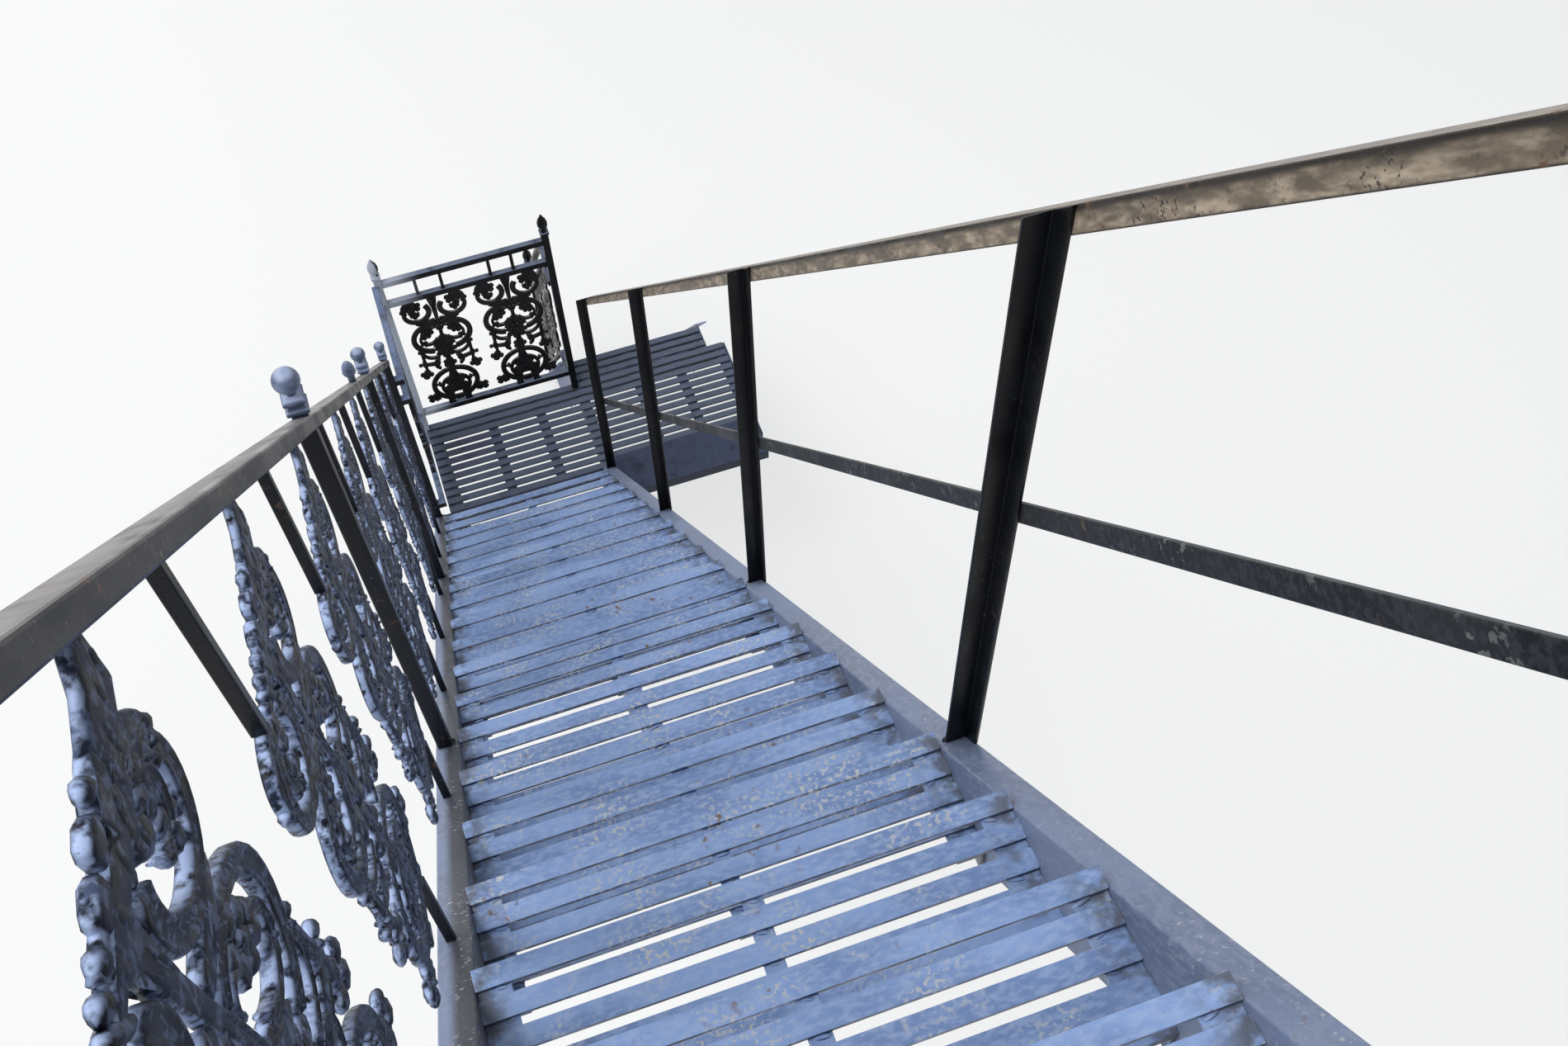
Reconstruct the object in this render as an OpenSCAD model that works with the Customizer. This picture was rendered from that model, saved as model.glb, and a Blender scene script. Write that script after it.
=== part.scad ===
// Straight steel fire escape stair with an ornamental cast guard, a slatted
// landing beside a wall and a short lower flight down to the ground.
// Frame: origin on the wall face of the landing's wall plate, +X into the wall,
// +Y the way the stair descends, +Z up. Millimetres.

/* [Flights] */
// Height of one step, both flights
riser = 210; // [190:1:225]
// Run of one step of the upper flight
going = 187; // [175:1:205]
// Run of one step of the lower flight
lower_going = 160; // [150:1:175]
// Clear width between the upper stringers
tread_width = 644; // [560:1:700]
// Clear width between the lower stringers
lower_width = 560; // [480:1:575]

/* [Tread bars] */
// Width of one tread bar
bar_width = 26; // [20:1:32]
// Spacing of tread bars
bar_pitch = 38.5; // [34:0.5:44]
// Thickness of one tread bar
bar_thick = 8; // [5:0.5:10]

/* [Stringers] */
// Channel depth square to the slope
stringer_depth = 150; // [120:5:180]
// Channel flange width
flange_width = 43; // [38:1:50]
// Channel web thickness
web_thick = 6; // [5:0.5:9]
// Channel flange thickness
flange_thick = 7; // [5:0.5:10]

/* [Landing] */
// Landing length from the wall to its street edge
landing_length = 1278; // [1230:1:1290]
// Deck height above the middle of the wall plate
deck_above_plate = 70; // [60:1:80]
// Depth of the landing frame below the slats
frame_depth = 80; // [60:5:100]
// Thickness of the wall plate
plate_thick = 10; // [8:1:14]

/* [Guards] */
// Top of the right handrail above the slope line
right_rail_height = 1005; // [900:5:1100]
// Top of the left handrail above the slope line
left_rail_height = 967; // [940:1:985]
// Size of the square guard posts
post_size = 26; // [22:1:32]
// Size of the short square pickets
picket_size = 12; // [10:1:16]
// Thickness of the scroll castings
casting_thick = 16; // [10:1:20]
// Height of the landing guard above the deck
landing_rail_height = 882; // [850:1:920]

/* [Hidden] */
upper_risers = 22;
lower_risers = 4;
bars_per_tread = 5;
left_slats = 12;
long_slats = 15;
wall_gap = 10;
slope_scale = sqrt(going * going + riser * riser) / going;
lower_scale = sqrt(lower_going * lower_going + riser * riser) / lower_going;
tread_left = -1300;
tread_right = tread_left + tread_width;
flight_top_y = -upper_risers * going;
flight_top_z = upper_risers * riser;
landing_left = -landing_length;
slat_end_left = (left_slats - 1) * bar_pitch + bar_width;
slat_end_long = (long_slats - 1) * bar_pitch + bar_width;
ext_left = -652;
ext_right = -75;
carrier_height = 6;
under_bars = -bar_thick - carrier_height;
ground = -lower_risers * riser;
lower_left = -640;
lower_right = lower_left + lower_width;
guard_x = tread_left - 25;
guard_left_rail = 30;
left_post_y = [-3744, -2421, -1088, -18];
casting_y = [-3508, -3117, -2703, -2185, -1795, -1360, -852, -432];
acorn_y = -1497;
right_post_y = [-3940, -2979, -2036, -1076, -40];
plate_centre_y = 198;
far_guard_y = slat_end_left - post_size / 2;
seat_gap = 0.3;

// Height of the upper slope line over the deck at a given y
function slope_z(y) = -y * riser / going;
// Height of the lower slope line over the deck at a given y
function lower_z(y) = -(y - slat_end_long) * riser / lower_going;
function mix(a, b, t) = a + (b - a) * t;

// A side view drawn in Y and Z, pushed along X from x0
module side(x0, width) {
  translate([x0, 0, 0]) rotate([90, 0, 90]) linear_extrude(width) children();
}

// A bar following the upper slope between two y positions, vertical ends
module raked_bar(x0, width, y0, y1, top, height) {
  side(x0, width)
    polygon([
      [y0, slope_z(y0) + top - height], [y1, slope_z(y1) + top - height],
      [y1, slope_z(y1) + top], [y0, slope_z(y0) + top]
    ]);
}

// The same for the lower slope
module lower_raked_bar(x0, width, y0, y1, top, height) {
  side(x0, width)
    polygon([
      [y0, lower_z(y0) + top - height], [y1, lower_z(y1) + top - height],
      [y1, lower_z(y1) + top], [y0, lower_z(y0) + top]
    ]);
}

// Treads: five flat bars on two end cleats and a middle carrier
module tread(left, width) {
  cleat = 40;
  carrier = 25;
  rear = -(bars_per_tread - 1) * bar_pitch;
  run = bar_width - rear;
  for (i = [0 : bars_per_tread - 1])
    translate([left, -i * bar_pitch, -bar_thick]) cube([width, bar_width, bar_thick]);
  for (x = [left, left + width - cleat])
    translate([x, rear, under_bars]) cube([cleat, run, carrier_height]);
  for (x = [left, left + width - carrier_height])
    translate([x, rear, under_bars - cleat]) cube([carrier_height, run, cleat]);
  translate([left + width / 2 - carrier / 2, rear, under_bars])
    cube([carrier, run, carrier_height]);
}

module upper_tread(j) {
  color("#8a9cc0") translate([0, -j * going, j * riser]) tread(tread_left, tread_width);
}

module tread_01() { upper_tread(1); }
module tread_02() { upper_tread(2); }
module tread_03() { upper_tread(3); }
module tread_04() { upper_tread(4); }
module tread_05() { upper_tread(5); }
module tread_06() { upper_tread(6); }
module tread_07() { upper_tread(7); }
module tread_08() { upper_tread(8); }
module tread_09() { upper_tread(9); }
module tread_10() { upper_tread(10); }
module tread_11() { upper_tread(11); }
module tread_12() { upper_tread(12); }
module tread_13() { upper_tread(13); }
module tread_14() { upper_tread(14); }
module tread_15() { upper_tread(15); }
module tread_16() { upper_tread(16); }
module tread_17() { upper_tread(17); }
module tread_18() { upper_tread(18); }
module tread_19() { upper_tread(19); }
module tread_20() { upper_tread(20); }
module tread_21() { upper_tread(21); }

module lower_treads() {
  color("#8a9cc0")
    for (j = [1 : lower_risers - 1])
      translate([0, slat_end_long + j * lower_going, -j * riser])
        translate([0, -bar_width, 0]) tread(lower_left, lower_width);
}

// Stringers: a web with two flanges turned outward
module upper_stringer(web_x, out_x) {
  depth = stringer_depth * slope_scale;
  skin = flange_thick * slope_scale;
  color("#8b95ab") {
    raked_bar(web_x, web_thick, flight_top_y, 0, 0, depth);
    raked_bar(out_x, flange_width, flight_top_y, 0, 0, skin);
    raked_bar(out_x, flange_width, flight_top_y, 0, skin - depth, skin);
  }
}

module upper_stringer_left() {
  upper_stringer(tread_left - web_thick, tread_left - flange_width);
}

module upper_stringer_right() {
  upper_stringer(tread_right, tread_right);
}

// The lower stringers stand on the ground, so their feet are cut level
module lower_stringer(web_x, out_x) {
  depth = stringer_depth * lower_scale;
  skin = flange_thick * lower_scale;
  y0 = slat_end_long + web_thick;
  y1 = slat_end_long + (lower_risers + 1) * lower_going;
  color("#8b95ab") intersection() {
    union() {
      lower_raked_bar(web_x, web_thick, y0, y1, lower_stringer_rise, depth);
      lower_raked_bar(out_x, flange_width, y0, y1, lower_stringer_rise, skin);
      lower_raked_bar(out_x, flange_width, y0, y1, lower_stringer_rise + skin - depth, skin);
    }
    translate([out_x - 1, y0 - 1, ground]) cube([flange_width + 2, y1, -ground]);
  }
}

module lower_stringers() {
  lower_stringer(lower_left - web_thick, lower_left - flange_width);
  lower_stringer(lower_right, lower_right);
}

// Plate and bolt holes that carry the top of the flight on the building
module top_wall_plate() {
  height = 230;
  reach = 70;
  hole = 9;
  color("#4c5263") difference() {
    translate([tread_left - reach, flight_top_y - plate_thick, flight_top_z - height])
      cube([tread_width + 2 * reach, plate_thick, height]);
    for (x = [tread_left - reach + 15, tread_right + reach - 15])
      for (z = [35, height - 35])
        translate([x, flight_top_y - plate_thick - 1, flight_top_z - z])
          rotate([-90, 0, 0]) cylinder(h = plate_thick + 2, r = hole, $fn = 48);
  }
}

// Landing
module landing_slats() {
  color("#4a5062") {
    for (i = [0 : left_slats - 1])
      translate([landing_left, i * bar_pitch, -bar_thick])
        cube([landing_length - wall_gap, bar_width, bar_thick]);
    for (i = [left_slats : long_slats - 1])
      translate([ext_left, i * bar_pitch, -bar_thick])
        cube([ext_right - ext_left, bar_width, bar_thick]);
  }
}

// Flat carriers under the slats, on cross angles between edge channels
module landing_frame() {
  beam = 40;
  skin = 6;
  low = under_bars - frame_depth;
  right = -wall_gap - beam;
  carriers = [-1040, -840, -420, -240];
  color("#3a3f4e") {
    // rear and front edge channels
    translate([tread_left - flange_width, 0, low])
      cube([flange_width - tread_left - plate_thick, skin, frame_depth]);
    translate([landing_left, slat_end_left - skin, low])
      cube([landing_length - plate_thick, skin, frame_depth]);
    // end channels and the one under the step in the deck
    for (x = [landing_left, ext_left, -plate_thick - skin])
      translate([x, skin, low]) cube([skin, slat_end_left - 2 * skin, frame_depth]);
    // frame of the longer right part
    for (x = [ext_left, ext_right - skin])
      translate([x, slat_end_left, low]) cube([skin, slat_end_long - slat_end_left, frame_depth]);
    translate([ext_left, slat_end_long, low]) cube([ext_right - ext_left, skin, frame_depth]);
    // flat carriers, seen through the gaps
    for (x = concat(carriers, [landing_left, ext_left, right]))
      translate([x, 0, under_bars]) cube([beam, slat_end_left, carrier_height]);
    for (x = [ext_left, -420, -240, ext_right - beam])
      translate([x, slat_end_left - skin, under_bars])
        cube([beam, slat_end_long - slat_end_left + 2 * skin, carrier_height]);
  }
}

// Solid plate along the near edge with the angle below it
module landing_edge_plate() {
  skin = 5;
  out = 153;
  over = 36;
  left = tread_right + flange_width + 2;
  drop = 42;
  color("#3a4359") {
    translate([left, -out, 0]) cube([-plate_thick - left, out + over, skin]);
    translate([left, -out, -drop]) cube([-plate_thick - left, skin, drop]);
    translate([left, -out, -drop]) cube([skin, out, drop]);
    translate([left, -skin, -drop]) cube([-plate_thick - left, skin, drop]);
  }
}

// The plate that is bolted to the wall; its back face carries the origin
module landing_wall_plate() {
  half_length = 250;
  half_height = 65;
  bolt_y = 200;
  bolt_z = 40;
  hole = 9;
  color("#3a3f4e") difference() {
    translate([-plate_thick, plate_centre_y - half_length, -deck_above_plate - half_height])
      cube([plate_thick, 2 * half_length, 2 * half_height]);
    for (dy = [-bolt_y, bolt_y])
      for (dz = [-bolt_z, bolt_z])
        translate([-plate_thick - 1, plate_centre_y + dy, -deck_above_plate + dz])
          rotate([0, 90, 0]) cylinder(h = plate_thick + 2, r = hole, $fn = 48);
  }
}

// Square legs under the street end, with base plates on the ground
module landing_legs() {
  leg = 50;
  base = 130;
  base_thick = 10;
  top = under_bars - frame_depth;
  color("#3a3f4e")
    for (y = [0, slat_end_left - leg])
      union() {
        translate([landing_left, y, ground]) cube([leg, leg, top - ground]);
        translate([landing_left - (base - leg) / 2, y - (base - leg) / 2, ground])
          cube([base, base, base_thick]);
      }
}

// Right guard: angle posts, angle rail, flat mid rail
post_leg = 32;
post_skin = 5;
post_x = tread_right + flange_width - post_leg;

module right_posts() {
  color("#15161a")
    for (y = right_post_y) {
      foot = slope_z(y);
      side(post_x, post_leg)
        polygon([
          [y - post_skin, foot + post_skin * riser / going],
          [y, foot],
          [y, foot + right_rail_height - 1],
          [y - post_skin, foot + post_skin * riser / going + right_rail_height - 1]
        ]);
      side(post_x + post_leg - post_skin, post_skin)
        polygon([
          [y - post_leg, foot + post_leg * riser / going],
          [y - post_skin, foot + post_skin * riser / going],
          [y - post_skin, foot + post_skin * riser / going + right_rail_height - 1],
          [y - post_leg, foot + post_leg * riser / going + right_rail_height - 1]
        ]);
    }
}

rail_x = tread_right + flange_width;
rail_leg = 38;

module right_handrail() {
  start = flight_top_y;
  color("#8a8478") {
    raked_bar(rail_x, post_skin, start, right_post_y[4] + 4, right_rail_height, rail_leg);
    raked_bar(rail_x, rail_leg, start, right_post_y[4] + 4, right_rail_height, post_skin);
  }
}

// The mid rail falls a little steeper than the slope
module right_mid_rail() {
  start = flight_top_y;
  stop = right_post_y[4] + 4;
  high = 616;
  low = 440;
  depth = 37;
  color("#2b2d33") side(rail_x, 6)
    polygon([
      [start, slope_z(start) + high - depth], [stop, slope_z(stop) + low - depth],
      [stop, slope_z(stop) + low], [start, slope_z(start) + high]
    ]);
}

// Scroll castings, drawn in steps of 210 mm and warped to their place
unit = 210;
pattern_height = 3.07;
pattern_half = 0.62;
pad_reach = 0.45;
lean_middle = 1.6;

// A point of the pattern moved to a panel: [stretch, height scale, fall, lean]
function warp(p, w) = [for (q = p)
  [w[0] * q[0] - w[3] * (q[1] - lean_middle), w[1] * q[1] - w[2] * w[0] * q[0]]];

function arc_line(c, r0, r1, a0, a1, n) = [
  for (i = [0 : n])
    let (t = i / n, a = mix(a0, a1, t), r = mix(r0, r1, t))
    [c[0] + r * cos(a), c[1] + r * sin(a)]
];

// A scroll band with its width changing from w0 to w1
module band(c, r0, r1, a0, a1, w0, w1, n, w) {
  outer = arc_line(c, r0 + w0 / 2, r1 + w1 / 2, a0, a1, n);
  inner = arc_line(c, r0 - w0 / 2, r1 - w1 / 2, a0, a1, n);
  polygon(warp(concat(outer, [for (i = [n : -1 : 0]) inner[i]]), w));
}

// A leaf with a wavy edge
module leaf(c, size, lobes, turn, w) {
  n = 4 * lobes;
  polygon(warp([
    for (i = [0 : n - 1])
      let (a = 360 * i / n + turn, r = size * (i % 4 == 0 ? 1.15 : i % 4 == 2 ? 0.72 : 0.95))
      [c[0] + r * cos(a), c[1] + r * sin(a)]
  ], w));
}

module blade(points, w) {
  polygon(warp(points, w));
}

module casting_half(w) {
  // top scroll with its inner curl and the leaf hooked over it
  band([0.34, 2.71], 0.245, 0.245, -215, 75, 0.075, 0.06, 11, w);
  band([0.36, 2.69], 0.215, 0.07, 50, -190, 0.06, 0.05, 8, w);
  band([0.42, 2.82], 0.20, 0.16, 110, -10, 0.09, 0.05, 5, w);
  leaf([0.56, 2.80], 0.075, 3, 20, w);
  leaf([0.38, 2.66], 0.085, 4, 0, w);
  // large side scroll
  band([0.17, 1.97], 0.385, 0.365, -82, 112, 0.095, 0.07, 11, w);
  band([0.30, 1.98], 0.16, 0.13, -150, 60, 0.05, 0.04, 7, w);
  leaf([0.30, 2.06], 0.10, 4, 30, w);
  leaf([0.36, 1.84], 0.075, 3, 0, w);
  // leaf between the top scroll and the side scroll
  blade([[0.08, 2.36], [0.30, 2.30], [0.42, 2.40], [0.30, 2.46], [0.10, 2.50]], w);
  // small paired curls at the heart
  band([0.10, 2.17], 0.075, 0.05, -60, 200, 0.04, 0.035, 6, w);
  blade([[0.0, 2.02], [0.17, 1.86], [0.22, 1.70], [0.12, 1.66], [0.0, 1.78]], w);
  // lower curve that carries the side leaves
  band([0.24, 1.62], 0.22, 0.20, -112, 30, 0.065, 0.05, 6, w);
  leaf([0.46, 1.63], 0.075, 3, 10, w);
  leaf([0.50, 1.29], 0.085, 3, 0, w);
  leaf([0.49, 0.99], 0.12, 4, 15, w);
  blade([[0.43, 0.98], [0.49, 0.98], [0.50, 1.62], [0.43, 1.62]], w);
  blade([[0.20, 1.16], [0.50, 1.24], [0.50, 1.32], [0.16, 1.26]], w);
  band([0.14, 1.22], 0.15, 0.12, -70, 80, 0.06, 0.05, 5, w);
  // bottom ring, inner ring and the leaf tips beside it
  band([0, 0.56], 0.435, 0.435, -96, 96, 0.085, 0.085, 12, w);
  band([0, 0.50], 0.27, 0.25, -62, 92, 0.06, 0.05, 7, w);
  leaf([0.50, 0.27], 0.12, 4, 40, w);
  leaf([0.33, 0.62], 0.06, 3, 0, w);
  blade([[0.36, 0.18], [0.52, 0.22], [0.50, 0.32], [0.36, 0.30]], w);
  // foot and the pad that meets the rail or picket above
  blade([[0.10, 0], [0.24, 0], [0.23, 0.16], [0.11, 0.18]], w);
  blade([[0.33, 2.96], [pad_reach, 2.96], [pad_reach, pattern_height], [0.33, pattern_height]], w);
}

module casting_heart(w) {
  blade([[-0.07, 1.6], [0.07, 1.6], [0.06, 2.4], [0.09, 2.7], [0.07, 2.85], [0.10, 3.05],
    [-0.10, 3.05], [-0.07, 2.85], [-0.09, 2.7], [-0.06, 2.4]], w);
  leaf([0, 1.55], 0.20, 7, 0, w);
  leaf([0, 1.16], 0.125, 5, 0, w);
  blade([[-0.05, 0.9], [0.05, 0.9], [0.06, 1.5], [-0.06, 1.5]], w);
  leaf([0, 0.46], 0.17, 6, 90, w);
  blade([[-0.2, 0.30], [0.2, 0.30], [0.05, 1.0], [-0.05, 1.0]], w);
  blade([[-0.24, 0.12], [0.24, 0.12], [0.2, 0.2], [-0.2, 0.2]], w);
}

module casting_outline(w) {
  casting_half(w);
  mirror([1, 0]) casting_half([w[0], w[1], -w[2], -w[3]]);
  casting_heart(w);
}

// Height of a raked casting's foot over the slope line
casting_base = 135;

// Room that a raked casting's head leaves for its crest, up to the underside of the rail
crest_room = 125.065;
raked_tall = (left_rail_height - guard_left_rail - casting_base - crest_room)
  / (unit * pattern_height);
raked_warp = [1.15, raked_tall, 0.38, 0.08];

// Height over the slope line, at a casting's middle, of its pattern's level line v
function line_height(v) =
  casting_base + unit * (raked_warp[1] * v - raked_warp[2] * raked_warp[3] * (v - lean_middle));

// In the pattern, where the underside of the sloping rail crosses the upright line u
function rail_v(u) =
  let (slope = riser / going, lean = slope * raked_warp[3],
    height = (left_rail_height - guard_left_rail - seat_gap - casting_base) / unit)
  (height - lean * lean_middle - raked_warp[0] * u * (slope - raked_warp[2]))
    / (raked_warp[1] - lean);

// A raked casting in the left guard, with a beaded crest whose far end reaches the rail
module raked_outline() {
  casting_outline(raked_warp);
  blade([[-0.28, 2.94], [0.50, 2.86], [0.54, 3.00], [0.64, 3.05], [0.66, rail_v(0.66)],
    [0.59, rail_v(0.59)], [0.50, 3.20], [0.28, 3.13], [0.10, 3.09], [-0.10, 3.08], [-0.28, 3.03]],
    raked_warp);
  for (p = [[-0.20, 3.04], [-0.06, 3.08], [0.09, 3.10], [0.26, 3.13]])
    leaf(p, 0.085, 3, 30, raked_warp);
}

module raked_casting(x, y, z) {
  translate([x - casting_thick / 2, y, z]) rotate([90, 0, 90])
    linear_extrude(casting_thick) scale(unit) raked_outline();
}

module left_castings() {
  color("#2c3346")
    for (y = casting_y)
      raked_casting(guard_x, y, slope_z(y) + casting_base);
}

// Left guard
module left_handrail() {
  color("#3b3f4a")
    raked_bar(guard_x - guard_left_rail / 2, guard_left_rail, flight_top_y,
      left_post_y[3] + post_size / 2, left_rail_height, guard_left_rail);
}

module square_post(x, y, z0, z1, size) {
  translate([x - size / 2, y - size / 2, z0]) cube([size, size, z1 - z0]);
}

// Posts stand on the stringer flange and end under the handrail
module left_posts() {
  color("#262a36")
    for (y = left_post_y) {
      a = y - post_size / 2;
      b = y + post_size / 2;
      top = left_rail_height - guard_left_rail;
      side(guard_x - post_size / 2, post_size)
        polygon([[a, slope_z(a)], [b, slope_z(b)], [b, slope_z(b) + top], [a, slope_z(a) + top]]);
    }
}

// Ball on a moulded square cap, seated on the handrail
module ball_finial() {
  cap = 30;
  ball = 18;
  waist = cap - 8;
  ball_centre = 58;
  translate([-cap / 2, -cap / 2, 0]) cube([cap, cap, 9]);
  translate([-waist / 2, -waist / 2, 9]) cube([waist, waist, 12]);
  translate([-cap / 2, -cap / 2, 21]) cube([cap, cap, 10]);
  rotate_extrude($fn = 32)
    polygon(concat([[0, 31], [7, 31], [7, 41]],
      [for (a = [-64 : 14 : 76]) [ball * cos(a), ball_centre + ball * sin(a)]],
      [[0, ball_centre + ball]]));
}

module acorn_finial() {
  rotate_extrude($fn = 32)
    polygon([[0, 0], [8, 0], [8, 10], [5, 14], [12, 20], [14, 28], [13, 36], [9, 46], [4, 54],
      [0, 58]]);
}

// The cap's foot follows the slope of the handrail
module finial_seat(x, y, size) {
  a = y - size / 2;
  b = y + size / 2;
  side(x - size / 2, size)
    polygon([
      [a, slope_z(a) + left_rail_height], [b, slope_z(b) + left_rail_height],
      [b, slope_z(a) + left_rail_height + 4], [a, slope_z(a) + left_rail_height + 4]
    ]);
}

module left_finials() {
  seat = 24;
  color("#3a4152") {
    for (y = left_post_y) {
      finial_seat(guard_x, y, seat);
      translate([guard_x, y, slope_z(y - seat / 2) + left_rail_height + 4]) ball_finial();
    }
    finial_seat(guard_x, acorn_y, 14);
    translate([guard_x, acorn_y, slope_z(acorn_y - 7) + left_rail_height + 4]) acorn_finial();
  }
}

// Short pickets between the rail and a casting, and from a casting to the flange
module left_pickets() {
  s = picket_size / 2;
  rail = left_rail_height - guard_left_rail;
  head = line_height(pattern_height) + seat_gap;
  tail = line_height(0) - seat_gap;
  fall = raked_warp[2];
  color("#1b1e27")
    for (y = casting_y) {
      up = y - 0.553 * unit;
      low = y + 0.30 * unit;
      base = slope_z(y);
      side(guard_x - s, picket_size)
        polygon([
          [up - s, base + head - (up - s - y) * fall], [up + s, base + head - (up + s - y) * fall],
          [up + s, slope_z(up + s) + rail], [up - s, slope_z(up - s) + rail]
        ]);
      side(guard_x - s, picket_size)
        polygon([
          [low - s, slope_z(low - s)], [low + s, slope_z(low + s)],
          [low + s, base + tail - (low + s - y) * fall],
          [low - s, base + tail - (low - s - y) * fall]
        ]);
    }
}

// Landing guards
guard_left_x = landing_left;
guard_right_x = ext_left;
rail_drop = 110;
rail_deep = 25;
rail_wide = 22;
bottom_rail = 90;
far_span = guard_right_x - guard_left_x;
upright_castings = [for (t = [0.268, 0.716]) mix(guard_left_x, guard_right_x, t)];
far_pickets = [for (t = [0.203, 0.353, 0.642, 0.78]) mix(guard_left_x, guard_right_x, t)];
side_guard_x = landing_left - 14;

// The outer half of the street post runs down the face of the landing's end channel
module far_guard_posts() {
  head = landing_rail_height + 30;
  low = under_bars - frame_depth;
  color("#262a36") {
    for (x = [guard_left_x, guard_right_x]) {
      square_post(x, far_guard_y, 0, head, post_size);
      translate([x, far_guard_y, head]) acorn_cap();
    }
    translate([guard_left_x - post_size / 2, far_guard_y - post_size / 2, low])
      cube([post_size / 2, post_size, -low]);
  }
}

module acorn_cap() {
  cap = 34;
  translate([-cap / 2, -cap / 2, 0]) cube([cap, cap, 8]);
  translate([0, 0, 8]) rotate_extrude($fn = 32)
    polygon([[0, 0], [11, 0], [8, 10], [14, 20], [19, 32], [19, 46], [15, 60], [8, 72], [3, 84],
      [0, 86]]);
}

module far_guard_rails() {
  x0 = guard_left_x + post_size / 2;
  span = guard_right_x - guard_left_x - post_size;
  s = picket_size / 2;
  second = landing_rail_height - rail_drop;
  color("#39415a") {
    for (z = [landing_rail_height, second, bottom_rail + rail_deep])
      translate([x0, far_guard_y - rail_wide / 2, z - rail_deep]) cube([span, rail_wide, rail_deep]);
    for (x = far_pickets)
      translate([x - s, far_guard_y - s, second])
        cube([picket_size, picket_size, rail_drop - rail_deep]);
  }
}

panel_height = (landing_rail_height - rail_drop - rail_deep - bottom_rail - rail_deep) / unit;

// Stretch that lets a row of castings take up a share of the span between two posts
function fit(span, count, share) = share * span / (count * 2 * pattern_half * unit);

panel_warp = [fit(far_span, 2, 0.79), (panel_height - 2 * seat_gap / unit) / pattern_height, 0, 0];

// The street end's casting is cast in one with its rails, so it runs a little into them
casting_bite = 2;
bitten_warp = [fit(far_guard_y, 1, 0.567),
  (panel_height + 2 * casting_bite / unit) / pattern_height, 0, 0];

module far_guard_castings() {
  color("#1d2029")
    for (x = upright_castings)
      translate([x, far_guard_y + casting_thick / 2, bottom_rail + rail_deep + seat_gap])
        rotate([90, 0, 0]) linear_extrude(casting_thick) scale(unit) casting_outline(panel_warp);
}

// Guard along the street end of the landing: three rails from the flight's corner post
// to the far post, and one casting between the lower two
module side_guard() {
  y0 = left_post_y[3] - post_size / 2;
  x0 = guard_x + post_size / 2;
  x1 = side_guard_x + rail_wide / 2;
  span = far_guard_y - post_size / 2 - y0;
  middle = mix(0, far_guard_y, 0.4925);
  second = landing_rail_height - rail_drop;
  color("#39415a")
    for (z = [landing_rail_height, second, bottom_rail + rail_deep]) {
      translate([x1 - rail_wide, y0, z - rail_deep]) cube([rail_wide, span, rail_deep]);
      translate([x0, y0, z - rail_deep]) cube([x1 - x0, post_size, rail_deep]);
    }
  color("#1d2029")
    translate([side_guard_x - casting_thick / 2, middle, bottom_rail + rail_deep - casting_bite])
      rotate([90, 0, 90]) linear_extrude(casting_thick) scale(unit) casting_outline(bitten_warp);
}

// Guard on the open side of the lower flight
lower_guard_x = lower_left - flange_width / 2;
lower_end_y = slat_end_long + lower_risers * lower_going - 40;
lower_rail_tops = [740, 636, 90];
lower_stringer_rise = 21;

module lower_guard_frame() {
  x = lower_guard_x - rail_wide / 2;
  y0 = far_guard_y + post_size / 2;
  y1 = lower_end_y - post_size / 2;
  y2 = lower_end_y + post_size / 2;
  head = lower_z(lower_end_y) + lower_rail_tops[0] + 40;
  color("#39415a") {
    side(lower_guard_x - post_size / 2, post_size)
      polygon([
        [y1, lower_z(y1) + lower_stringer_rise], [y2, lower_z(y2) + lower_stringer_rise],
        [y2, head], [y1, head]
      ]);
    translate([lower_guard_x, lower_end_y, head]) acorn_cap();
    for (h = lower_rail_tops)
      side(x, rail_wide)
        polygon([
          [y0, h - rail_deep], [slat_end_long, h - rail_deep],
          [lower_end_y, lower_z(lower_end_y) + h - rail_deep],
          [lower_end_y, lower_z(lower_end_y) + h], [slat_end_long, h], [y0, h]
        ]);
  }
}

lower_opening = lower_rail_tops[1] - rail_deep - lower_rail_tops[2] - 2 * seat_gap;
lower_run = lower_risers * lower_going;
lower_warp = [fit(lower_run, 2, 0.814), lower_opening / unit / pattern_height,
  riser / lower_going, 0];

module lower_guard_castings() {
  color("#1d2029")
    for (t = [0.231, 0.669]) let (y = slat_end_long + t * lower_run)
      translate([lower_guard_x - casting_thick / 2, y, lower_z(y) + lower_rail_tops[2] + seat_gap])
        rotate([90, 0, 90]) linear_extrude(casting_thick) scale(unit)
          casting_outline(lower_warp);
}

// Moves the whole stair so that the wall plate's face centre is the origin
module placed() {
  translate([0, -plate_centre_y, deck_above_plate]) children();
}

placed() top_wall_plate();
placed() upper_stringer_left();
placed() upper_stringer_right();
placed() tread_01();
placed() tread_02();
placed() tread_03();
placed() tread_04();
placed() tread_05();
placed() tread_06();
placed() tread_07();
placed() tread_08();
placed() tread_09();
placed() tread_10();
placed() tread_11();
placed() tread_12();
placed() tread_13();
placed() tread_14();
placed() tread_15();
placed() tread_16();
placed() tread_17();
placed() tread_18();
placed() tread_19();
placed() tread_20();
placed() tread_21();
placed() right_posts();
placed() right_handrail();
placed() right_mid_rail();
placed() left_handrail();
placed() left_posts();
placed() left_finials();
placed() left_castings();
placed() left_pickets();
placed() landing_slats();
placed() landing_frame();
placed() landing_edge_plate();
placed() landing_wall_plate();
placed() landing_legs();
placed() far_guard_posts();
placed() far_guard_rails();
placed() far_guard_castings();
placed() side_guard();
placed() lower_stringers();
placed() lower_treads();
placed() lower_guard_frame();
placed() lower_guard_castings();
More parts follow.
